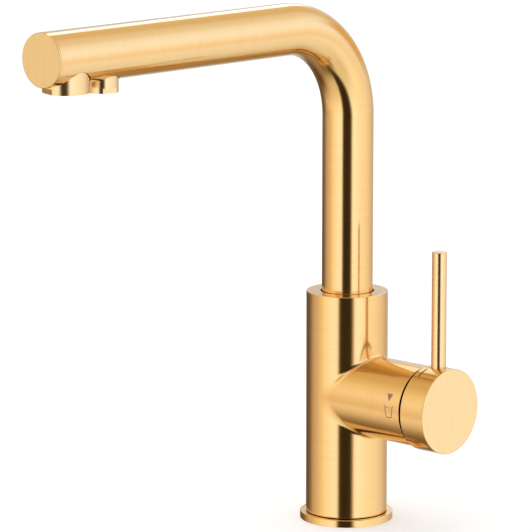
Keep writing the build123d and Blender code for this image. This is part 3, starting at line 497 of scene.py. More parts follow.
def add_branch(skin, bearing, to_branch):
    """The branch's side from the strip to its mouth, where x runs straight from one to the other,
    and then its rim, and the shadow neck and the cartridge's bore, painted dark as shade."""
    edge_x, neck_r = MOUTH_X - NECK_LENGTH, BRANCH_R - NECK_DEPTH
    side_end = edge_x - SIDE_MARGIN
    t = np.linspace(0, 1, BRANCH_ROWS)[:, None]
    x = to_branch[:, 0] + t * (side_end - to_branch[:, 0])
    skin.add(*cylinder(HANDLE_AXIS, BRANCH_R)(bearing + 0 * x, x))
    rim = BRANCH_R - 2 * FINE_EDGE
    turned(skin, HANDLE_AXIS, [(BRANCH_R, side_end), (BRANCH_R, edge_x), (rim, edge_x)],
           {1: FINE_EDGE}, bearing, side_end)
    # The neck and the bores are painted dark as shade.
    turned(skin, HANDLE_AXIS, [
        (rim, edge_x), (neck_r, edge_x), (neck_r, NECK_END), (MOUTH_BORE_R, NECK_END),
        (MOUTH_BORE_R, NUT_SEAT_X), (CARTRIDGE_BORE_R, NUT_SEAT_X),
        (CARTRIDGE_BORE_R, CARTRIDGE_SEAT_X), (0, CARTRIDGE_SEAT_X)],
        {}, bearing, side_end, finish=PAINTED_SHADE)


print("the strip is", STRIP_ROWS - 1, "cells wide and the branch's side", BRANCH_ROWS - 1, "long")


# %% The screw hole, and the whole column
def add_screw_hole(skin, bearing):
    """A blind hole square into the back of the column, as deep as the screw. Its lip is on the
    tube, at y = sqrt(R^2 - x^2)."""
    x, z = -SCREW_HOLE_R * np.sin(bearing), SCREW_Z + SCREW_HOLE_R * np.cos(bearing)
    lip, floor = np.sqrt(BODY_R ** 2 - x ** 2), screw_low[1]
    wall = np.stack([stacked(x, y, z) for y in (lip, floor)])
    skin.add(wall, stacked(-x, 0, SCREW_Z - z) / SCREW_HOLE_R, wall)
    middle = np.broadcast_to(np.array([0, floor, SCREW_Z]), wall[1].shape)
    skin.add(np.stack([wall[1], middle]), Y_AXIS, wall)


column = column_skin()
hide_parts("mixer_body")
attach(column, "body")

# %% [markdown]
# ## The foot ring
#
# A plain turned ring that the column stands on. Its rounded upper edge catches a thin bright
# line, and the shadow line between ring and column, painted dark on the column's lowest rim,
# tells the eye that they are two pieces.

# %% Build the ring
GASKET_OUT = RING_R - 1.6 * MM
GASKET_IN = GASKET_OUT - 3.0 * MM
GASKET_T = corners_of("base_gasket")[1][2]
FOOT_GAP = 0.2 * MM         # between the ring's bore and the foot in it


def ring_skin():
    """The ring's section, from its bore round the foot, the groove and the outside."""
    bore = FOOT_R + FOOT_GAP
    skin = Skin()
    turned(skin, UPRIGHT, [
        (bore, RING_TOP), (bore, 0), (GASKET_IN, 0), (GASKET_IN, GASKET_T), (GASKET_OUT, GASKET_T),
        (GASKET_OUT, 0), (RING_R, 0), (RING_R, RING_TOP), (bore, RING_TOP)],
        {6: FINE_EDGE, 7: EDGE}, ROUND)
    return skin.build("foot_ring")


foot_ring = ring_skin()
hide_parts("base_ring")
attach(foot_ring, "body")

# %% [markdown]
# ## The bent spout
#
# One tube, bent once. A point is found from two numbers: how far along the centreline it is, and
# where round the tube. Before the bend the tube's outer side faces back, and after it up, so the
# brushing turns with the metal instead of sliding over it. Two holes in the underside let the
# outlets through.

# %% The tube as a formula
bend_foot = SPOUT_Z - BEND_R
RISE = bend_foot - TUBE_FOOT
BEND_LENGTH = BEND_R * pi / 2
RUN_START = RISE + BEND_LENGTH
RUN_END = RUN_START + TUBE_END - BEND_R
print("centreline:", [round(v / MM, 2) for v in (RISE, BEND_LENGTH, RUN_END - RUN_START)],
      "mm of rise, bend and run")


def bent_tube(radius, side):
    """The tube's surface: a is the angle from the bend's outer side, b the centreline length.
    The centreline is straight, then a quarter circle of BEND_R, then straight. side is +1 for the
    outside and -1 for the bore."""
    def surface(a, b):
        """centre(b) + radius * spoke(a). turn is how far the bend has gone at b."""
        turn = np.clip((b - RISE) / BEND_R, 0, pi / 2)
        rise = np.minimum(b, RISE)
        run = np.maximum(b - RUN_START, 0)
        y = -BEND_R * (1 - np.cos(turn)) - run
        z = TUBE_FOOT + rise + BEND_R * np.sin(turn)
        spoke = spokes(a, stacked(0, np.cos(turn), np.sin(turn)), X_AXIS)
        return stacked(0, y, z) + radius * spoke, side * spoke, tube_grain(radius, a, b)
    return surface


# %% Outlet places
main_low, main_high = corners_of("main_outlet_sleeve")
filter_low, filter_high = corners_of("filter_outlet_sleeve")
SADDLE_GAP = 0.45 * MM      # between a sleeve and the hole it comes through
LIP_WALL, NECK_WALL = 0.9 * MM, 1.9 * MM


class Outlet:
    """One outlet's place and sizes. A flat is a spanner flat near the lip."""

    def __init__(self, low, high, flat_cut, flat_height, flat_turn, seat_drop, neck_r):
        """low and high are the sleeve's box. flat_turn is in degrees and seat_drop is measured
        down from the spout's axis."""
        self.y = (low[1] + high[1]) / 2
        self.radius = (high[0] - low[0]) / 2
        self.foot, self.top = low[2], high[2]
        self.flat_cut, self.flat_height, self.flat_turn = flat_cut, flat_height, radians(flat_turn)
        self.seat = SPOUT_Z - seat_drop
        self.neck_r = neck_r
        self.bore = self.radius - flat_cut - LIP_WALL
        self.hole_r = self.radius + SADDLE_GAP


main_outlet = Outlet(main_low, main_high, 1.5 * MM, 2.9 * MM, -108, 6.5 * MM, 8.9 * MM)
filter_outlet = Outlet(filter_low, filter_high, 1.0 * MM, 2.6 * MM, -15, 10.5 * MM, 4.9 * MM)
OUTLETS = [filter_outlet, main_outlet]
for outlet in OUTLETS:
    print("outlet radius", round(1000 * outlet.radius, 2), "mm at", round(1000 * outlet.y, 2), "mm")


# %% Build the spout
UNDERSIDE = pi                                      # the angle of the outlets' holes
OUTLET_HALF, OUTLET_MARGIN = radians(76), 1.6 * MM  # their windows: half angle, room at each end
RISE_STEP, BEND_STEP = 3 * MM, radians(1.5) * BEND_R    # the run has LENGTH_STEP
TUBE_BORE_R = TUBE_R - TUBE_WALL


def spout_skin():
    """Outside, bore, the holes' cut edges and the two open ends of the tube. An outlet at y is
    RUN_START - y - BEND_R along the centreline."""
    skin = Skin()
    sides = (UNDERSIDE - OUTLET_HALF, UNDERSIDE + OUTLET_HALF)
    angles = breaks([0, *sides, 2 * pi], ANGLE_STEP)
    spans = []
    for outlet in OUTLETS:
        middle = RUN_START - outlet.y - BEND_R
        spans.append((middle - outlet.hole_r - OUTLET_MARGIN,
                      middle + outlet.hole_r + OUTLET_MARGIN))
    lengths = np.concatenate([
        breaks([0, RISE], RISE_STEP)[:-1], breaks([RISE, RUN_START], BEND_STEP)[:-1],
        breaks([RUN_START, *spans[0], *spans[1], RUN_END - FINE_EDGE], LENGTH_STEP)])
    # The outside takes the turned gold, and the bore the near-black gold painted as shade.
    for radius, side, finish in ((TUBE_R, 1, 0), (TUBE_BORE_R, -1, PAINTED_SHADE)):
        windows = []
        for outlet, (low, high) in zip(OUTLETS, spans):
            hole = round_hole(UNDERSIDE, (low + high) / 2, outlet.hole_r, radius)
            windows.append((sides, (low, high), hole))
        bearings = quilt(skin, bent_tube(radius, side), angles, lengths, windows, finish)
    for outlet, bearing in zip(OUTLETS, bearings):
        add_saddle(skin, outlet, bearing)
    foot = (np.array([0, 0, TUBE_FOOT]), Y_AXIS, X_AXIS, Z_AXIS)
    turned(skin, foot, [(TUBE_BORE_R, 0), (TUBE_R, 0)], {}, angles)
    end = RUN_END - FINE_EDGE - RUN_START + BEND_R
    wall_middle = (TUBE_R + TUBE_BORE_R) / 2
    turned(skin, SPOUT_RUN, [
        (TUBE_R, end), (TUBE_R, TUBE_END), (wall_middle, TUBE_END), (TUBE_BORE_R, TUBE_END),
        (TUBE_BORE_R, end)], {1: FINE_EDGE_IN_LEG}, angles)
    return skin.build("spout")


def add_saddle(skin, outlet, bearing):
    """The cut edge of a hole: straight up from the tube's outside to its bore, each of them
    sqrt(r^2 - x^2) below the axis."""
    x = -outlet.hole_r * np.sin(bearing)
    y = outlet.y - outlet.hole_r * np.cos(bearing)
    rows = np.stack([stacked(x, y, SPOUT_Z - np.sqrt(radius ** 2 - x ** 2))
                     for radius in (TUBE_R, TUBE_BORE_R)])
    # The cut edge is painted dark as shade.
    skin.add(rows, stacked(-x, outlet.y - y, 0) / outlet.hole_r, rows, finish=PAINTED_SHADE)


spout = spout_skin()
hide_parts("spout_tube")
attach(spout, "spout")

# %% [markdown]
# ## The disc that closes the spout
#
# A thin disc is let into the tube's end. Only its rim and face show. A hairline between disc
# and tube is what makes it read as a fitted piece, so both edges are very slightly rounded.

# %% Build the end disc
PLUG_GAP, PLUG_DEPTH = 0.1 * MM, 2.8 * MM
FACE_RINGS = 12


def flat_face(skin, centre, across, up, radius, normal):
    """A round flat face whose brushing runs along up: a polar grid with grain (up, 0, across)."""
    r = np.linspace(0, radius, FACE_RINGS)[:, None]
    side, height = r * np.sin(ROUND), r * np.cos(ROUND)
    points = centre + side[..., None] * across + height[..., None] * up
    # Its slot is the end faces' gold, painted paler as lit.
    skin.add(points, normal, stacked(height, 0, side), finish=LIT_END_FACE)


def end_disc_skin():
    """A plug that fits the tube's bore, a rim as wide as the tube, and the flat face."""
    plug = TUBE_BORE_R - PLUG_GAP
    back = TUBE_END - PLUG_DEPTH
    skin = Skin()
    face_r = TUBE_R - EDGE
    turned(skin, SPOUT_RUN, [
        (0, back), (plug, back), (plug, TUBE_END), (TUBE_R, TUBE_END), (TUBE_R, SPOUT_REACH),
        (face_r, SPOUT_REACH)], {3: FINE_EDGE, 4: EDGE_IN_LEG}, ROUND)
    flat_face(skin, np.array([0, -SPOUT_REACH, SPOUT_Z]), X_AXIS, Z_AXIS, face_r, -Y_AXIS)
    return skin.build("spout_end_disc")


spout_end_disc = end_disc_skin()
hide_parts("spout_end_cap")
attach(spout_end_disc, "spout")

# %% [markdown]
# ## The two outlets
#
# Each outlet is a turned sleeve, screwed up into the spout, with two flats for a spanner at its
# lip. A flat is a chord: where the chord is nearer than the circle, the sleeve's radius is
# (distance of the flat) / cos(angle from the flat's middle). The grid is split at the flats'
# ends, so that their edges stay sharp.

# %% Build the outlets
FLAT_SAMPLES, ROUND_SAMPLES = 25, 61        # across a flat, and round from one flat to the other


def outlet_lip(skin, outlet, top):
    """The lip with its flats, up to the height top: wall, foot and the ledge over each flat. Even
    spans are flats and odd ones are round. Returns the angles of all its samples."""
    flat = outlet.radius - outlet.flat_cut
    reach = acos(flat / outlet.radius)
    turns = [outlet.flat_turn + k * pi + side * reach for k in (0, 1) for side in (-1, 1)]
    centre = np.array([0, outlet.y, 0])
    low, high = outlet.foot * Z_AXIS, top * Z_AXIS
    all_angles = []
    for i, (start, stop) in enumerate(zip(turns, turns[1:] + [turns[0] + 2 * pi])):
        is_flat = i % 2 == 0
        angles = np.linspace(start, stop, FLAT_SAMPLES if is_flat else ROUND_SAMPLES)
        spoke = spokes(angles, X_AXIS, Y_AXIS)
        middle = (start + stop) / 2
        radius = flat / np.cos(angles - middle) if is_flat else np.full_like(angles, outlet.radius)
        lip = centre + radius[:, None] * spoke
        edge = centre + outlet.radius * spoke
        bore = centre + outlet.bore * spoke
        wall = np.stack([lip + low, lip + high])
        skin.add(wall, np.array([cos(middle), sin(middle), 0]) if is_flat else spoke, wall)
        for rows in (np.stack([lip + high, edge + high]), np.stack([bore + low, lip + low])):
            skin.add(rows, -Z_AXIS, rows)
        all_angles.append(angles[:-1])
    return np.concatenate(all_angles + [angles[-1:]])


def outlet_skin(outlet, name):
    """Lip with flats, then the round side, neck and bore."""
    skin = Skin()
    top = outlet.foot + outlet.flat_height
    angles = outlet_lip(skin, outlet, top)
    roof = outlet.seat - NECK_WALL
    waist = outlet.neck_r - NECK_WALL
    turned(skin, upright_at(0, outlet.y), [
        (outlet.radius, top), (outlet.radius, outlet.seat), (outlet.neck_r, outlet.seat),
        (outlet.neck_r, outlet.top), (waist, outlet.top), (waist, roof), (outlet.bore, roof),
        (outlet.bore, outlet.foot)], {1: FINE_EDGE}, angles)
    return skin.build(name)


front_outlet = outlet_skin(main_outlet, "front_outlet")
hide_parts("main_outlet_sleeve")
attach(front_outlet, "spout")
rear_outlet = outlet_skin(filter_outlet, "rear_outlet")
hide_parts("filter_outlet_sleeve")
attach(rear_outlet, "spout")

# %% [markdown]
# ## The handle's cap and lever
#
# The cap is a cup that hides the valve and tilts round the branch's mouth, so its inside is part
# of a ball about the pivot. The lever is a plain rod let into a hole in the cap's top. The hole's
# edge is a saddle curve, and the hairline of shadow round the rod comes from its clearance and from
# the hole's walls, which are painted dark as shade.

# %% Cap and lever sizes
SPINDLE_END_X = corners_of("lever_spindle")[1][0]
pin_low, pin_high = corners_of("spindle_pivot_pin")
PIVOT_X = (pin_low[0] + pin_high[0]) / 2
CAVITY_R = sqrt((MOUTH_X - PIVOT_X) ** 2 + BRANCH_R ** 2) + 0.5 * MM
HUB_R = sqrt(2) * 4.0 * MM + 4.3 * MM
SOCKET_R = 5.75 * MM
SOCKET_ROOM = 0.5 * MM      # beyond the spindle's end
LEVER_SEAT = CAP_R - 2.0 * MM
LEVER_HOLE_R = LEVER_R + 0.22 * MM
LEVER_EDGE = 0.6 * MM
LEVER_FOOT = HANDLE_Z + LEVER_SEAT
print("cap cavity", round(CAVITY_R / MM, 2), "mm about the pivot at x", round(PIVOT_X / MM, 2),
      "mm, lever", round((LEVER_TOP - LEVER_FOOT) / MM, 2), "mm long")

# %% Build the cap
CAP_WINDOW_HALF = radians(14)
CAP_WINDOW_REACH = LEVER_HOLE_R + 0.5 * MM
CAP_LIP_MARGIN = 0.5 * MM
CAVITY_ROWS = 24


def cap_skin():
    """Outside with the lever's hole, front face, lip, round cavity, hub and spindle socket. The
    cavity's ball meets radius r at x = pivot + sqrt(CAVITY_R^2 - r^2)."""
    skin = Skin()
    side_low, side_high = CAP_FACE + CAP_LIP_MARGIN, CAP_END - SIDE_MARGIN
    sides = (-CAP_WINDOW_HALF, CAP_WINDOW_HALF)
    span = (LEVER_X - CAP_WINDOW_REACH, LEVER_X + CAP_WINDOW_REACH)
    angles = breaks([-pi, *sides, pi], FINE_ANGLE_STEP)
    lengths = breaks([side_low, *span, side_high], FINE_LENGTH_STEP)
    windows = [(sides, span, round_hole(0, LEVER_X, LEVER_HOLE_R, CAP_R))]
    bearing = quilt(skin, cylinder(HANDLE_AXIS, CAP_R), angles, lengths, windows)[0]
    add_lever_hole(skin, bearing)
    face_r = CAP_R - EDGE
    turned(skin, HANDLE_AXIS, [(CAP_R, side_high), (CAP_R, CAP_END), (face_r, CAP_END)],
           {1: EDGE_IN_LEG}, angles, side_high)
    flat_face(skin, np.array([CAP_END, 0, HANDLE_Z]), Y_AXIS, Z_AXIS, face_r, X_AXIS)
    lip_r = sqrt(CAVITY_R ** 2 - (CAP_FACE - PIVOT_X) ** 2)
    rim = CAP_R - 2 * FINE_EDGE
    turned(skin, HANDLE_AXIS, [(rim, CAP_FACE), (CAP_R, CAP_FACE), (CAP_R, side_low)],
           {1: FINE_EDGE}, angles)
    # The lip inside the rim, the hub and the socket are painted dark as shade.
    turned(skin, HANDLE_AXIS, [(lip_r, CAP_FACE), (rim, CAP_FACE)], {}, angles, finish=PAINTED_SHADE)
    root_x = PIVOT_X + sqrt(CAVITY_R ** 2 - HUB_R ** 2)
    swing = np.linspace(atan2(HUB_R, root_x - PIVOT_X), atan2(lip_r, CAP_FACE - PIVOT_X),
                        CAVITY_ROWS)
    add_cavity(skin, swing, angles)
    socket_end = SPINDLE_END_X + SOCKET_ROOM
    turned(skin, HANDLE_AXIS, [
        (0, socket_end), (SOCKET_R, socket_end), (SOCKET_R, CAP_FACE), (HUB_R, CAP_FACE),
        (HUB_R, root_x)], {}, angles, finish=PAINTED_SHADE)
    return skin.build("cap")


def add_lever_hole(skin, bearing):
    """The blind hole the lever stands in: its lip is on the cap, its floor is the lever's seat."""
    y = LEVER_HOLE_R * np.sin(bearing)
    x = LEVER_X + LEVER_HOLE_R * np.cos(bearing)
    lip, floor = (stacked(x, y, z) for z in (HANDLE_Z + np.sqrt(CAP_R ** 2 - y ** 2), LEVER_FOOT))
    middle = np.broadcast_to(np.array([LEVER_X, 0, LEVER_FOOT]), floor.shape)
    inwards = stacked(LEVER_X - x, -y, 0) / LEVER_HOLE_R
    # Its wall and floor are painted dark: a painted shadow round the lever's foot.
    for rows, normals in (([lip, floor], inwards), ([floor, middle], Z_AXIS)):
        skin.add(np.stack(rows), normals, np.stack(rows), finish=PAINTED_SHADE)


def add_cavity(skin, swing, angles):
    """Part of a ball about the pivot: x = CAVITY_R cos(swing), radius = CAVITY_R sin(swing). Its
    normal points back to the pivot, because the air is inside."""
    origin, up, side, out = HANDLE_AXIS
    away = spokes(swing[:, None], out, spokes(angles, up, side))
    points = origin + PIVOT_X * out + CAVITY_R * away
    # Painted dark as shade, like the rest of the cap's inside.
    skin.add(points, -away, points, finish=PAINTED_SHADE)


cap = cap_skin()
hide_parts("handle_cap")
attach(cap, "handle")

# %% [markdown]
# ## The lever
#
# The lever is a solid rod whose free end is softly rounded. A stock cylinder would give its shape,
# but not the brushing's coordinates: turned by the same lathe as the rest, it gets both, and the
# rounding keeps a thin bright ring at its top.

# %% Build the lever
def lever_skin():
    """A rod with a softly rounded end, standing in the cap."""
    skin = Skin()
    turned(skin, upright_at(LEVER_X, 0), [
        (0, LEVER_FOOT), (LEVER_R, LEVER_FOOT), (LEVER_R, LEVER_TOP), (0, LEVER_TOP)],
        {2: LEVER_EDGE}, ROUND)
    return skin.build("lever")


lever = lever_skin()
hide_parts("handle_lever")
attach(lever, "handle")

# %% [markdown]
# ## Marks on the metal
#
# The branch carries a small lasered sign, an arrowhead over a tumbler of water, and the cap a
# short painted tick. They have no depth to speak of, so each is a thin strip laid on the curved
# surface, a few hundredths of a millimetre proud: enough to be real geometry, too little to see.

# %% Strips laid on the handle's tubes
MARK_LIFT = 0.02 * MM       # how proud a mark stands
STROKE_LEG = 0.4 * MM       # legs this short bend with the tube
SHARPEST = 0.4              # least cosine of half a turn, so that a sharp corner stays short


def mark_surface(radius):
    """Maps x along the handle axis and an angle from the top towards the front to 3-D."""
    def surface(x, angle):
        """(x, 0, axis height) + (radius + lift) * spoke(angle), with the spoke as its normal."""
        spoke = stacked(0, -np.sin(angle), np.cos(angle))
        points = stacked(x, 0, HANDLE_Z) + (radius + MARK_LIFT) * spoke
        return points, spoke, tube_grain(radius, angle, x)
    return surface


def stroke(skin, radius, route, width):
    """A strip of even width along a route of (x, arc length) points in millimetres. The route is
    cut into short legs, so that it bends with the tube, and each point moves half the width to
    each side, square to the mean of its two legs."""
    route = np.array(route, float) * MM
    steps = np.linalg.norm(np.diff(route, axis=0), axis=1)
    length = np.concatenate([[0], np.cumsum(steps)])
    even = np.unique(np.concatenate([length, np.arange(0, length[-1], STROKE_LEG)]))
    route = stacked(*(np.interp(even, length, values) for values in route.T))
    legs = np.diff(route, axis=0)
    legs /= np.linalg.norm(legs, axis=1)[:, None]
    before, after = np.vstack([legs[:1], legs]), np.vstack([legs, legs[-1:]])
    sideways = stacked(-(before + after)[:, 1], (before + after)[:, 0])
    sideways /= np.linalg.norm(sideways, axis=1)[:, None]
    square = stacked(-before[:, 1], before[:, 0])
    reach = width * MM / 2 / np.maximum((sideways * square).sum(axis=1), SHARPEST)
    rows = np.stack([route - sideways * reach[:, None], route + sideways * reach[:, None]])
    skin.add(*mark_surface(radius)(rows[..., 0], rows[..., 1] / radius))


def arc_at(degrees, radius):
    """Arc length in millimetres at an angle from the top."""
    return radians(degrees) * radius / MM


print("one degree is", round(arc_at(1, BRANCH_R), 3), "mm round the branch and",
      round(arc_at(1, CAP_R), 3), "mm round the cap")

# %% The sign's arrowhead
# Places along the handle's axis and sizes are in millimetres, places round it in degrees from
# the top towards the front.
ARROW_BASE, ARROW_TIP = 65.0, 76.2
ARROW_X, ARROW_HALF = 49.9, 2.0
ARROW_ROWS, ARROW_COLUMNS = 9, 7


def sign_triangle():
    """The filled arrowhead: rows that shrink as 1 - t from its base to its point."""
    base, tip = arc_at(ARROW_BASE, BRANCH_R), arc_at(ARROW_TIP, BRANCH_R)
    t = np.linspace(0, 1, ARROW_ROWS)[:, None]
    across = np.linspace(-1, 1, ARROW_COLUMNS)
    x = (ARROW_X + ARROW_HALF * across * (1 - t)) * MM
    arc = (base + (tip - base) * t + 0 * across) * MM
    skin = Skin()
    skin.add(*mark_surface(BRANCH_R)(x, arc / BRANCH_R))
    return skin.build("sign_arrowhead")


arrowhead = sign_triangle()

# %% The sign's tumbler
CUP_RIM, CUP_BASE, WATER_LINE = 81.5, 98.7, 84.6
CUP_LEFT, CUP_RIGHT, FOOT_LEFT, FOOT_RIGHT = 47.4, 52.9, 48.5, 52.1
CUP_CORNER, CUP_STROKE = 0.7, 0.5
WAVES = [(48.3, 49.9), (50.4, 52.1)]        # where each piece of the water line starts and stops
WAVE_HEIGHT, WAVE_RATE, WAVE_STROKE, WAVE_SAMPLES = 0.16, 4.0, 0.36, 13


def rounded_corner(corner, start, stop, radius, steps=6):
    """Points on the quadratic Bezier (1-t)^2 p + 2t(1-t) corner + t^2 q, where p and q are radius
    away from the corner towards start and stop."""
    corner, start, stop = (np.array(p, float) for p in (corner, start, stop))
    a, b = (start - corner), (stop - corner)
    a, b = a / np.linalg.norm(a), b / np.linalg.norm(b)
    p, q = corner + a * radius, corner + b * radius
    t = np.linspace(0, 1, steps)[:, None]
    return list((1 - t) ** 2 * p + 2 * t * (1 - t) * corner + t ** 2 * q)


def sign_tumbler():
    """An open cup with rounded lower corners, and a short wavy water line in it, whose height
    follows sin(WAVE_RATE * way along it)."""
    rim, base, water = (arc_at(place, BRANCH_R) for place in (CUP_RIM, CUP_BASE, WATER_LINE))
    skin = Skin()
    left, right = (CUP_LEFT, rim), (CUP_RIGHT, rim)
    lower_left, lower_right = (FOOT_LEFT, base), (FOOT_RIGHT, base)
    route = [left] + rounded_corner(lower_left, left, lower_right, CUP_CORNER)
    route += rounded_corner(lower_right, lower_left, right, CUP_CORNER) + [right]
    stroke(skin, BRANCH_R, route, CUP_STROKE)
    for start, stop in WAVES:
        x = np.linspace(start, stop, WAVE_SAMPLES)
        wave = water + WAVE_HEIGHT * np.sin((x - start) * WAVE_RATE)
        stroke(skin, BRANCH_R, stacked(x, wave), WAVE_STROKE)
    return skin.build("sign_tumbler")


tumbler = sign_tumbler()

# %% The tick on the cap
TICK_START, TICK_STOP, TICK_SAMPLES = 13.5, 32.5, 19
TICK_X, TICK_STROKE = 63.0, 1.05


def cap_tick():
    """A short painted line round the cap, by the lever's foot."""
    skin = Skin()
    angles = np.linspace(TICK_START, TICK_STOP, TICK_SAMPLES)
    stroke(skin, CAP_R, stacked(TICK_X, [arc_at(a, CAP_R) for a in angles]), TICK_STROKE)
    return skin.build("cap_tick")


tick = cap_tick()
for mark, body in ((arrowhead, "body"), (tumbler, "body"), (tick, "handle")):
    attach(mark, body)

# %% [markdown]
# ## Brushed gold
#
# Brushing leaves thousands of scratches along one direction. Light that falls across them is
# spread out, and light along them stays sharp. That is why the column's reflections are crisp
# from side to side but smeared up and down. The scratches here come from noise that is stretched
# along the grain, and one shared group makes them for every brushed piece.

# %% Shader helpers
# Where most of a noise's values lie. The ramps below start and stop there.
NOISE_LOW, NOISE_HIGH = 0.3, 0.7


def new_group(name, inputs, outputs):
    """An empty shader group with named float or vector sockets."""
    group = bpy.data.node_groups.new(name, "ShaderNodeTree")
    for label, kind, value in inputs:
        socket = group.interface.new_socket(label, in_out="INPUT", socket_type=kind)
        if value is not None:
            socket.default_value = value
    for label, kind in outputs:
        group.interface.new_socket(label, in_out="OUTPUT", socket_type=kind)
    return group, group.nodes.new("NodeGroupInput"), group.nodes.new("NodeGroupOutput")


def ranged(nodes, links, source, low, high):
    """low where a noise is at NOISE_LOW, high where it is at NOISE_HIGH, straight between."""
    node = nodes.new("ShaderNodeMapRange")
    node.inputs["From Min"].default_value = NOISE_LOW
    node.inputs["From Max"].default_value = NOISE_HIGH
    node.inputs["To Min"].default_value = low
    node.inputs["To Max"].default_value = high
    links.new(source, node.inputs["Value"])
    return node.outputs["Result"]


def patterned(name, metallic, dark, light, roughness, depth):
    """Starts a material, and returns its nodes, its links and a function that joins a pattern
    on. The colour goes from dark to light with the pattern's tone, the roughness over its range
    with its fine output, and the surface is raised by that output times depth, in metres."""
    material = bpy.data.materials.new(name)
    material.use_nodes = True
    nodes, links = material.node_tree.nodes, material.node_tree.links
    shader = nodes["Principled BSDF"]
    shader.inputs["Metallic"].default_value = metallic

    def join(tone, fine):
        """Mixes the colours by tone, sets roughness and bump from fine, and returns the
        finished material."""
        tint = nodes.new("ShaderNodeMix")
        tint.data_type = "RGBA"
        tint.inputs["A"].default_value = (*dark, 1)
        tint.inputs["B"].default_value = (*light, 1)
        links.new(ranged(nodes, links, tone, 0.0, 1.0), tint.inputs["Factor"])
        links.new(tint.outputs["Result"], shader.inputs["Base Color"])
        links.new(ranged(nodes, links, fine, *roughness), shader.inputs["Roughness"])
        bump = nodes.new("ShaderNodeBump")
        bump.inputs["Strength"].default_value = 1.0
        bump.inputs["Distance"].default_value = depth
        links.new(fine, bump.inputs["Height"])
        links.new(bump.outputs["Normal"], shader.inputs["Normal"])
        return material

    return nodes, links, join


print("noise is read from", NOISE_LOW, "to", NOISE_HIGH)

# %% A group that draws brushing
# Each output is a noise of its own: its share of Lines, and its detail.
BRUSH_NOISES = {"Scratches": (1.0, 4.0), "Bands": (0.15, 3.0)}


def brushing_group():
    """Grain is scaled by Streak round the piece and by share * Lines along it, then read by two
    noises: one fine for the scratches, one broad for slow changes of tone."""
    group, start, end = new_group("brushing", [
        ("Grain", "NodeSocketVector", None), ("Lines", "NodeSocketFloat", 5000.0),
        ("Streak", "NodeSocketFloat", 60.0)],
        [("Scratches", "NodeSocketFloat"), ("Bands", "NodeSocketFloat")])
    nodes, links = group.nodes, group.links
    for output, (share, detail) in BRUSH_NOISES.items():
        lines = nodes.new("ShaderNodeMath")
        lines.operation = "MULTIPLY"
        lines.inputs[1].default_value = share
        links.new(start.outputs["Lines"], lines.inputs[0])
        scale = nodes.new("ShaderNodeCombineXYZ")
        links.new(start.outputs["Streak"], scale.inputs[0])
        links.new(start.outputs["Streak"], scale.inputs[1])
        links.new(lines.outputs[0], scale.inputs[2])
        stretch = nodes.new("ShaderNodeVectorMath")
        stretch.operation = "MULTIPLY"
        links.new(start.outputs["Grain"], stretch.inputs[0])
        links.new(scale.outputs[0], stretch.inputs[1])
        noise = nodes.new("ShaderNodeTexNoise")
        noise.inputs["Scale"].default_value = 1.0
        noise.inputs["Detail"].default_value = detail
        noise.inputs["Roughness"].default_value = 0.6
        links.new(stretch.outputs[0], noise.inputs["Vector"])
        links.new(noise.outputs["Fac"], end.inputs[output])
    return group


BRUSHING = brushing_group()
print("brushing puts out", list(BRUSH_NOISES))

# %% Gold finishes
def brushed_metal(name, dark, light, roughness, lines, streak, depth):
    """A metal whose colour, roughness and normal all follow the brushing: tone from its bands,
    and the rest from its scratches."""
    nodes, links, join = patterned(name, 1.0, dark, light, roughness, depth)
    grain = nodes.new("ShaderNodeAttribute")
    grain.attribute_name = "grain"
    brush = nodes.new("ShaderNodeGroup")
    brush.node_tree = BRUSHING
    brush.inputs["Lines"].default_value = lines
    brush.inputs["Streak"].default_value = streak
    links.new(grain.outputs["Vector"], brush.inputs["Grain"])
    return join(brush.outputs["Bands"], brush.outputs["Scratches"])


round_gold = brushed_metal(
    "gold_turned", dark=(0.875, 0.585, 0.255), light=(0.90, 0.61, 0.275),
    roughness=(0.12, 0.165), lines=6000.0, streak=25.0, depth=0.8e-6)
# The outlets and the lever are the same gold, painted paler and less saturated as lit; their higher
# roughness is their own finish.
pale_lit_small_gold = brushed_metal(
    "gold_small_painted_pale", dark=(0.885, 0.65, 0.345), light=(0.91, 0.675, 0.37),
    roughness=(0.19, 0.25), lines=6000.0, streak=25.0, depth=0.8e-6)
# Painted shade: a near-black gold for gaps, bores and seams, darker than any brass, so that they read
# as shadow.
painted_shade_gold = brushed_metal(
    "gold_painted_shade", dark=(0.05, 0.022, 0.008), light=(0.09, 0.042, 0.015),
    roughness=(0.5, 0.65), lines=4000.0, streak=60.0, depth=4e-6)
# The end faces are the same gold painted paler, as lit; their straight brushing and roughness are
# their own.
lit_end_gold = brushed_metal(
    "gold_end_face_painted_lit", dark=(0.96, 0.72, 0.37), light=(0.99, 0.77, 0.41),
    roughness=(0.28, 0.33), lines=5000.0, streak=30.0, depth=0.9e-6)
# The specular tint keeps the painted shade dark at grazing angles too.
painted_shade_shader = painted_shade_gold.node_tree.nodes["Principled BSDF"]
painted_shade_shader.inputs["Specular Tint"].default_value = (0.25, 0.15, 0.08, 1)
golds = (round_gold, pale_lit_small_gold, painted_shade_gold, lit_end_gold)
print("golds:", [gold.name for gold in golds])

# %% [markdown]
# ## The other finishes
#
# The parts inside the tap show through gaps, from below and when the handle tilts. Each gets a
# plain honest finish: machined brass, steel, moulded plastic, rubber and ceramic. A group gives
# them all a fine mottle, because no real surface is one flat colour.

# %% A group that mottles
GRIT_FINER = 6.0            # the fine noise's scale over the broad one's
MOTTLE_DETAIL = 3.0
PLAIN_DEPTH = 2e-6          # metres


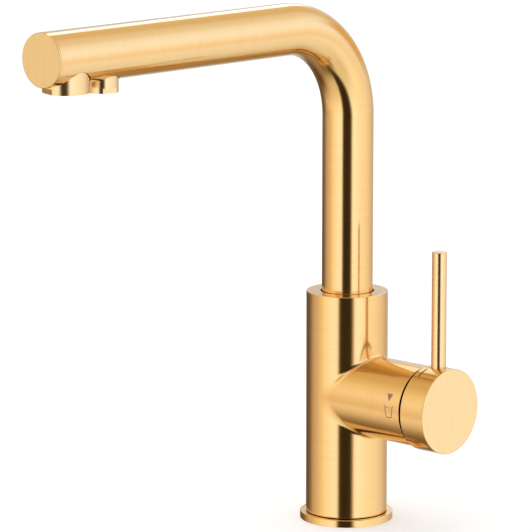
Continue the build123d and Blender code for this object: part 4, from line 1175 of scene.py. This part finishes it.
def mottle_group():
    """Two noises in object coordinates: Tone has the scale Size, and Grit GRIT_FINER * Size."""
    group, start, end = new_group("mottle", [
        ("Place", "NodeSocketVector", None), ("Size", "NodeSocketFloat", 900.0)],
        [("Tone", "NodeSocketFloat"), ("Grit", "NodeSocketFloat")])
    nodes, links = group.nodes, group.links
    finer = nodes.new("ShaderNodeMath")
    finer.operation = "MULTIPLY"
    finer.inputs[1].default_value = GRIT_FINER
    links.new(start.outputs["Size"], finer.inputs[0])
    for source, output in ((start.outputs["Size"], "Tone"), (finer.outputs[0], "Grit")):
        noise = nodes.new("ShaderNodeTexNoise")
        noise.inputs["Detail"].default_value = MOTTLE_DETAIL
        links.new(source, noise.inputs["Scale"])
        links.new(start.outputs["Place"], noise.inputs["Vector"])
        links.new(noise.outputs["Fac"], end.inputs[output])
    return group


MOTTLE = mottle_group()


def plain_finish(name, dark, light, roughness, metallic=0.0, size=400.0):
    """A finish whose colour and roughness vary a little from place to place: tone from the broad
    noise, and the rest from the fine one."""
    nodes, links, join = patterned(name, metallic, dark, light, roughness, PLAIN_DEPTH)
    place = nodes.new("ShaderNodeTexCoord")
    mottle = nodes.new("ShaderNodeGroup")
    mottle.node_tree = MOTTLE
    mottle.inputs["Size"].default_value = size
    links.new(place.outputs["Object"], mottle.inputs["Place"])
    return join(mottle.outputs["Tone"], mottle.outputs["Grit"])


mottle_sockets = MOTTLE.interface.items_tree
print("mottle puts out", [item.name for item in mottle_sockets if item.in_out == "OUTPUT"])

# %% Plain finishes
SLOT_FINISH = {
    "gold_finish": round_gold,
    "plain_brass": plain_finish(
        "machined_brass", (0.60, 0.42, 0.14), (0.74, 0.54, 0.22), (0.25, 0.35), metallic=1.0),
    "stainless": plain_finish(
        "stainless_steel", (0.45, 0.45, 0.46), (0.56, 0.56, 0.57), (0.22, 0.34), metallic=1.0),
    "seal_rubber": plain_finish(
        "black_rubber", (0.012, 0.012, 0.012), (0.03, 0.03, 0.03), (0.55, 0.7)),
    "disc_ceramic": plain_finish(
        "white_ceramic", (0.72, 0.71, 0.68), (0.78, 0.77, 0.74), (0.12, 0.2)),
    "white_plastic": plain_finish(
        "white_plastic", (0.62, 0.62, 0.60), (0.70, 0.70, 0.68), (0.35, 0.5)),
}
laser_mark = plain_finish(
    "laser_mark", (0.29, 0.17, 0.15), (0.38, 0.23, 0.20), (0.4, 0.55), metallic=0.6, size=3000.0)
tick_paint = plain_finish(
    "tick_paint", (0.004, 0.075, 0.065), (0.01, 0.10, 0.085), (0.35, 0.5), size=3000.0)
print("finishes by slot:", {slot: finish.name for slot, finish in SLOT_FINISH.items()})

# %% Put the finishes on
slot_of = {part["node"]: part["material_slot"] for part in frame["record"]["subparts"]}
for node, thing in frame["nodes"].items():
    thing.data.materials.clear()
    thing.data.materials.append(SLOT_FINISH[slot_of[node]])


def dress(piece, *finishes):
    """Gives a piece its finishes in slot order. All of them belong to the record's gold slot."""
    for finish in finishes:
        piece.data.materials.append(finish)


# Slot 1 is painted shade, and slot 2 is the end faces' gold painted paler as lit.
for piece in (column, foot_ring, spout, cap, spout_end_disc):
    dress(piece, round_gold, painted_shade_gold, lit_end_gold)
for piece in (front_outlet, rear_outlet, lever):
    dress(piece, pale_lit_small_gold, painted_shade_gold, lit_end_gold)
for mark, finish in ((arrowhead, laser_mark), (tumbler, laser_mark), (tick, tick_paint)):
    dress(mark, finish)
print("dressed", len(frame["nodes"]), "nodes and the skins")

# %% [markdown]
# ## Camera
#
# A tall thin object is photographed from well back with a long lens, which keeps its uprights
# nearly parallel. A short lens close by would make the handle's side of the tap look swollen. The
# place, turn and lens here were fitted to a photograph of the tap.

# %% Camera
CAMERA_PLACE = (1.2708, -1.4123, 0.5006)
CAMERA_TURN = (radians(79.304), 0.0, radians(43.331))
LENS, SENSOR = 237.74, 36.0             # millimetres
NEAREST, FARTHEST = 0.1, 50.0           # metres
camera_data = bpy.data.cameras.new("camera")
camera_data.lens, camera_data.sensor_width = LENS, SENSOR
camera_data.clip_start, camera_data.clip_end = NEAREST, FARTHEST
camera = bpy.data.objects.new("camera", camera_data)
camera.location, camera.rotation_euler = CAMERA_PLACE, CAMERA_TURN
bpy.context.scene.collection.objects.link(camera)
bpy.context.scene.camera = camera
CAMERA_BEARING = atan2(CAMERA_PLACE[1], CAMERA_PLACE[0])
print("camera", round(float(np.linalg.norm(CAMERA_PLACE)), 3), "m from the tap's foot, bearing",
      round(CAMERA_BEARING * 180 / pi, 1), "degrees")

# %% [markdown]
# ## Studio
#
# Metal has no look of its own: it shows the room. A product photographer puts pale panels all
# round and leaves dark gaps between them, and the gaps draw the dark bands that make a tube look
# round. The world here is that room, worked out from direction alone: rings of colour at a few
# heights, each a ramp by compass bearing. The camera itself sees plain white.

# %% The room seen in the metal
# Each ring is one height in degrees above the horizon. Its stops are (bearing, colour), and a
# bearing counts in degrees from the camera's own, anticlockwise seen from above. Panels are 1 or
# more, and the gap round the camera is near 0.
GAP = (0.040, 0.026, 0.010)
ROOM = {
    -80: [(-180, (0.27, 0.20, 0.13)), (-60, (0.25, 0.19, 0.12)), (-20, (0.12, 0.08, 0.04)),
          (20, (0.12, 0.08, 0.04)), (90, (0.27, 0.20, 0.12)), (180, (0.27, 0.20, 0.13))],
    -62: [(-180, (0.42, 0.34, 0.24)), (-120, (0.35, 0.26, 0.17)), (-90, (0.60, 0.50, 0.37)),
          (-60, (0.80, 0.70, 0.54)), (-26, (0.75, 0.66, 0.52)), (-19, GAP), (11, GAP),
          (22, (0.90, 0.84, 0.72)), (90, (0.95, 0.92, 0.85)), (130, (0.70, 0.62, 0.50)),
          (180, (0.42, 0.34, 0.24))],
    -42: [(-180, (0.30, 0.22, 0.15)), (-150, (0.12, 0.07, 0.035)), (-125, (0.10, 0.05, 0.02)),
          (-112, (0.28, 0.20, 0.12)), (-95, (0.62, 0.49, 0.36)), (-70, (0.90, 0.80, 0.65)),
          (-27, (1.0, 0.92, 0.78)), (-20, GAP), (11, GAP), (22, (0.95, 0.92, 0.85)),
          (57, (0.85, 0.80, 0.70)), (90, (1.0, 1.0, 1.0)), (108, (1.0, 1.02, 1.10)),
          (125, (0.85, 0.80, 0.72)), (142, (0.55, 0.43, 0.29)), (160, (0.35, 0.24, 0.13)),
          (180, (0.30, 0.22, 0.15))],
    -22: [(-180, (0.8, 0.8, 0.8)), (-165, (0.20, 0.14, 0.10)), (-140, (0.16, 0.11, 0.07)),
          (-125, (0.34, 0.25, 0.18)), (-110, (0.72, 0.60, 0.48)), (-88, (1.0, 0.89, 0.74)),
          (-60, (1.18, 1.08, 0.90)), (-27, (1.2, 1.2, 1.2)), (-20.5, GAP), (12.5, GAP),
          (22, (1.2, 1.22, 1.25)), (60, (1.2, 1.2, 1.15)), (97, (1.07, 1.10, 1.24)),
          (116, (0.95, 0.95, 0.98)), (142, (0.60, 0.50, 0.40)), (165, (0.5, 0.42, 0.35)),
          (180, (0.8, 0.8, 0.8))],
    -11: [(-180, (0.8, 0.8, 0.8)), (-172, (0.14, 0.095, 0.055)), (-135, (0.17, 0.115, 0.065)),
          (-121, (0.34, 0.25, 0.19)), (-111, (0.58, 0.45, 0.38)), (-93, (0.74, 0.60, 0.47)),
          (-78, (0.98, 0.81, 0.60)), (-64, (1.18, 1.09, 0.89)), (-51, (1.28, 1.2, 1.18)),
          (-39, (1.3, 1.3, 1.45)), (-27, (1.22, 1.2, 1.2)), (-20.5, GAP), (11.5, GAP),
          (16.5, (0.42, 0.31, 0.16)), (22, (1.2, 1.22, 1.25)), (30, (1.3, 1.36, 1.62)),
          (42, (1.25, 1.28, 1.42)), (54, (1.2, 1.18, 1.15)), (67, (1.17, 1.12, 1.0)),
          (81, (1.13, 1.05, 0.96)), (97, (1.04, 0.96, 0.90)), (116, (0.90, 0.80, 0.74)),
          (143, (0.62, 0.54, 0.48)), (165, (0.60, 0.55, 0.50)), (180, (0.8, 0.8, 0.8))],
    11: [(-180, (0.66, 0.68, 0.74)), (-160, (0.58, 0.52, 0.44)), (-135, (0.62, 0.50, 0.36)),
         (-110, (0.90, 0.78, 0.60)), (-84, (1.09, 0.98, 0.85)), (-50, (1.25, 1.25, 1.22)),
         (-27, (1.22, 1.22, 1.25)), (-20.5, GAP), (12.5, GAP), (22, (1.2, 1.25, 1.35)),
         (60, (1.25, 1.32, 1.55)), (96, (1.19, 1.28, 1.62)), (125, (1.05, 1.12, 1.32)),
         (150, (0.84, 0.82, 0.80)), (180, (0.66, 0.68, 0.74))],
    28: [(-180, (0.85, 0.80, 0.72)), (-150, (0.46, 0.34, 0.20)), (-125, (0.74, 0.58, 0.37)),
         (-97, (0.96, 0.80, 0.55)), (-60, (1.15, 1.05, 0.85)), (-27, (1.0, 0.92, 0.78)),
         (-16, (0.20, 0.15, 0.09)), (9, (0.20, 0.15, 0.09)), (22, (1.0, 0.98, 0.9)),
         (60, (1.1, 1.12, 1.15)), (104, (1.08, 1.20, 1.52)), (125, (0.98, 1.03, 1.15)),
         (144, (0.80, 0.68, 0.50)), (160, (0.82, 0.72, 0.56)), (180, (0.85, 0.80, 0.72))],
    44: [(-180, (0.80, 0.66, 0.45)), (-150, (0.40, 0.25, 0.09)), (-135, (0.50, 0.34, 0.15)),
         (-115, (0.74, 0.55, 0.29)), (-60, (0.9, 0.76, 0.52)), (-18, (0.42, 0.34, 0.22)),
         (0, (0.42, 0.35, 0.25)), (32, (0.60, 0.52, 0.36)), (69, (0.85, 0.74, 0.52)),
         (100, (0.92, 0.88, 0.78)), (125, (0.92, 0.86, 0.82)), (142, (0.80, 0.68, 0.48)),
         (155, (0.82, 0.69, 0.48)), (180, (0.80, 0.66, 0.45))],
    90: [(-180, (0.95, 0.92, 0.86)), (180, (0.95, 0.92, 0.86))],
}
print("the room has", len(ROOM), "rings and", sum(len(stops) for stops in ROOM.values()), "stops")

# %% Panels in the room
# Two pale panels high behind the tap rim its top edges. Two gold ones nearer the horizon keep the
# spout's run gold in views along it. Each has four bearings and four heights, where it starts, is
# full, stops being full and ends, and a colour.
PANELS = [
    ((168, 172, 177, 180), (13, 17, 37, 42), (2.6, 2.7, 3.3)),
    ((-178, -174, -164, -159), (22, 27, 42, 46), (1.3, 1.26, 1.2)),
    ((112, 124, 150, 162), (-2, 3, 16, 24), (0.80, 0.55, 0.28)),
    ((-62, -50, -32, -24), (1, 6, 18, 26), (0.85, 0.62, 0.34)),
]
RAMP_SCALE = 2.0            # ramp colours stop at 1, so they hold half of each value
print("panels in the room:", len(PANELS))


# %% Nodes for the room
def held(colour):
    """A colour as a ramp holds it: colour / RAMP_SCALE, with an alpha of 1."""
    return (*[c / RAMP_SCALE for c in colour], 1)


def ramp_node(nodes, stops, low, high):
    """A colour ramp from (place, colour) stops, each at (place - low) / (high - low)."""
    node = nodes.new("ShaderNodeValToRGB")
    elements = node.color_ramp.elements
    while len(elements) < len(stops):
        elements.new(0.5)
    for element, (place, colour) in zip(elements, stops):
        element.position = (place - low) / (high - low)
        element.color = held(colour)
    return node


def math_node(nodes, links, operation, *values):
    """A Math node whose inputs are sockets or numbers."""
    node = nodes.new("ShaderNodeMath")
    node.operation = operation
    for socket, value in zip(node.inputs, values):
        if isinstance(value, (int, float)):
            socket.default_value = value
        else:
            links.new(value, socket)
    return node.outputs[0]


def ramped(nodes, links, value, low, high):
    """0 at low, 1 at high and straight between them, in degrees. It also runs downwards."""
    node = nodes.new("ShaderNodeMapRange")
    node.inputs["From Min"].default_value = radians(low)
    node.inputs["From Max"].default_value = radians(high)
    links.new(value, node.inputs["Value"])
    return node.outputs["Result"]


def blended(nodes, links, share, below, above):
    """The colour below where share is 0 and the colour above where it is 1."""
    node = nodes.new("ShaderNodeMix")
    node.data_type = "RGBA"
    links.new(share, node.inputs["Factor"])
    links.new(below, node.inputs["A"])
    if isinstance(above, tuple):
        node.inputs["B"].default_value = held(above)
    else:
        links.new(above, node.inputs["B"])
    return node.outputs["Result"]


print("ramps hold a colour of 1 as", held((1.0, 1.0, 1.0))[0])


# %% The room's colour
def room_colour(nodes, links):
    """Bearing is atan2(y, x) less the camera's, and height is asin(z). Each height lies between
    two rings, and is mixed from them by how far it is from each. A panel's share is the product
    of four ramps: in and out by bearing, in and out by height."""
    direction = nodes.new("ShaderNodeSeparateXYZ")
    links.new(nodes.new("ShaderNodeTexCoord").outputs["Generated"], direction.inputs[0])
    x, y, z = direction.outputs
    bearing = math_node(nodes, links, "ARCTAN2", y, x)
    turned_bearing = math_node(nodes, links, "SUBTRACT", bearing, CAMERA_BEARING - pi)
    share = math_node(nodes, links, "FRACT", math_node(nodes, links, "DIVIDE", turned_bearing, 2 * pi))
    height = math_node(nodes, links, "ARCSINE", z)
    levels = sorted(ROOM)
    rings = [ramp_node(nodes, ROOM[level], -180, 180) for level in levels]
    for ring in rings:
        links.new(share, ring.inputs["Fac"])
    colour = rings[0].outputs["Color"]
    for below, above, ring in zip(levels, levels[1:], rings[1:]):
        rise = ramped(nodes, links, height, below, above)
        colour = blended(nodes, links, rise, colour, ring.outputs["Color"])
    from_back = math_node(nodes, links, "MULTIPLY", share, 2 * pi)
    for sides, heights, shade in PANELS:
        mask = 1.0
        for value, stops in ((from_back, [side + 180 for side in sides]), (height, heights)):
            start, full, fading, gone = stops
            for low, high in ((start, full), (gone, fading)):
                edge = ramped(nodes, links, value, low, high)
                mask = math_node(nodes, links, "MULTIPLY", edge, mask)
        colour = blended(nodes, links, mask, colour, shade)
    return colour


print("heights of the rings, in degrees:", sorted(ROOM))

# %% World
MATT_LIGHT, WHITE = (0.9, 0.9, 0.9, 1), (1, 1, 1, 1)


def studio_world():
    """White to the camera, an even grey-white to matt surfaces, and the room to metal. The ramps'
    colours are multiplied by RAMP_SCALE again."""
    world = bpy.data.worlds.new("studio")
    world.use_nodes = True
    nodes, links = world.node_tree.nodes, world.node_tree.links
    nodes.clear()
    light_path = nodes.new("ShaderNodeLightPath")
    shades = []
    for colour, strength in ((room_colour(nodes, links), RAMP_SCALE), (MATT_LIGHT, 1.0),
                             (WHITE, 1.0)):
        shade = nodes.new("ShaderNodeBackground")
        shade.inputs["Strength"].default_value = strength
        if isinstance(colour, tuple):
            shade.inputs["Color"].default_value = colour
        else:
            links.new(colour, shade.inputs["Color"])
        shades.append(shade.outputs[0])
    room, matt, white = shades
    metal_or_matt = nodes.new("ShaderNodeMixShader")
    links.new(light_path.outputs["Is Glossy Ray"], metal_or_matt.inputs["Fac"])
    links.new(matt, metal_or_matt.inputs[1])
    links.new(room, metal_or_matt.inputs[2])
    seen = math_node(nodes, links, "MAXIMUM", light_path.outputs["Is Camera Ray"],
                     light_path.outputs["Is Transmission Ray"])
    final = nodes.new("ShaderNodeMixShader")
    links.new(seen, final.inputs["Fac"])
    links.new(metal_or_matt.outputs[0], final.inputs[1])
    links.new(white, final.inputs[2])
    output = nodes.new("ShaderNodeOutputWorld")
    links.new(final.outputs[0], output.inputs["Surface"])
    return world


bpy.context.scene.world = studio_world()
bpy.context.scene.view_settings.view_transform = "Standard"
print("the world has", len(bpy.context.scene.world.node_tree.nodes), "nodes")

# %% [markdown]
# ## Floor and lamp
#
# The tap stands on white, and only the soft shadow at its foot shows that there is a floor. More
# light would whiten the floor but wash out the metal, so the floor is a pale grey that glows a
# little to the camera alone. The lamp is wide and high, which keeps the shadow soft. The metal
# mirrors neither of them, because the room already holds every reflection.

# %% Build the floor and the lamp
FLOOR_HALF = 6.0                        # metres to each side
FLOOR_GREY, FLOOR_LIFT = (0.82, 0.82, 0.82, 1), 0.28
LAMP_SIZE, LAMP_POWER, LAMP_PLACE = 2.4, 8.0, (-0.3, -0.5, 2.2)


def floor_material():
    """A pale matt floor, lifted just to white where nothing shades it: to the camera alone it
    glows by FLOOR_LIFT."""
    material = bpy.data.materials.new("pale_floor")
    material.use_nodes = True
    nodes, links = material.node_tree.nodes, material.node_tree.links
    shader = nodes["Principled BSDF"]
    shader.inputs["Base Color"].default_value = FLOOR_GREY
    shader.inputs["Roughness"].default_value = 0.9
    shader.inputs["Specular IOR Level"].default_value = 0.0
    path = nodes.new("ShaderNodeLightPath")
    links.new(math_node(nodes, links, "MULTIPLY", path.outputs["Is Camera Ray"], FLOOR_LIFT),
              shader.inputs["Emission Strength"])
    shader.inputs["Emission Color"].default_value = WHITE
    return material


def floor_and_lamp():
    """A square floor at z = 0 and a round soft lamp overhead. The metal mirrors neither."""
    mesh = bpy.data.meshes.new("floor")
    square = [(x * FLOOR_HALF, y * FLOOR_HALF, 0) for x, y in ((-1, -1), (1, -1), (1, 1), (-1, 1))]
    mesh.from_pydata(square, [], [(0, 1, 2, 3)])
    floor = bpy.data.objects.new("floor", mesh)
    floor.data.materials.append(floor_material())
    floor.visible_glossy = False
    lamp_data = bpy.data.lights.new("soft_overhead", "AREA")
    lamp_data.shape, lamp_data.size, lamp_data.energy = "DISK", LAMP_SIZE, LAMP_POWER
    lamp = bpy.data.objects.new("soft_overhead", lamp_data)
    lamp.location = LAMP_PLACE
    lamp.visible_glossy = False
    for thing in (floor, lamp):
        bpy.context.scene.collection.objects.link(thing)


floor_and_lamp()
print("floor", 2 * FLOOR_HALF, "m across, lamp", LAMP_SIZE, "m across at", LAMP_PLACE)
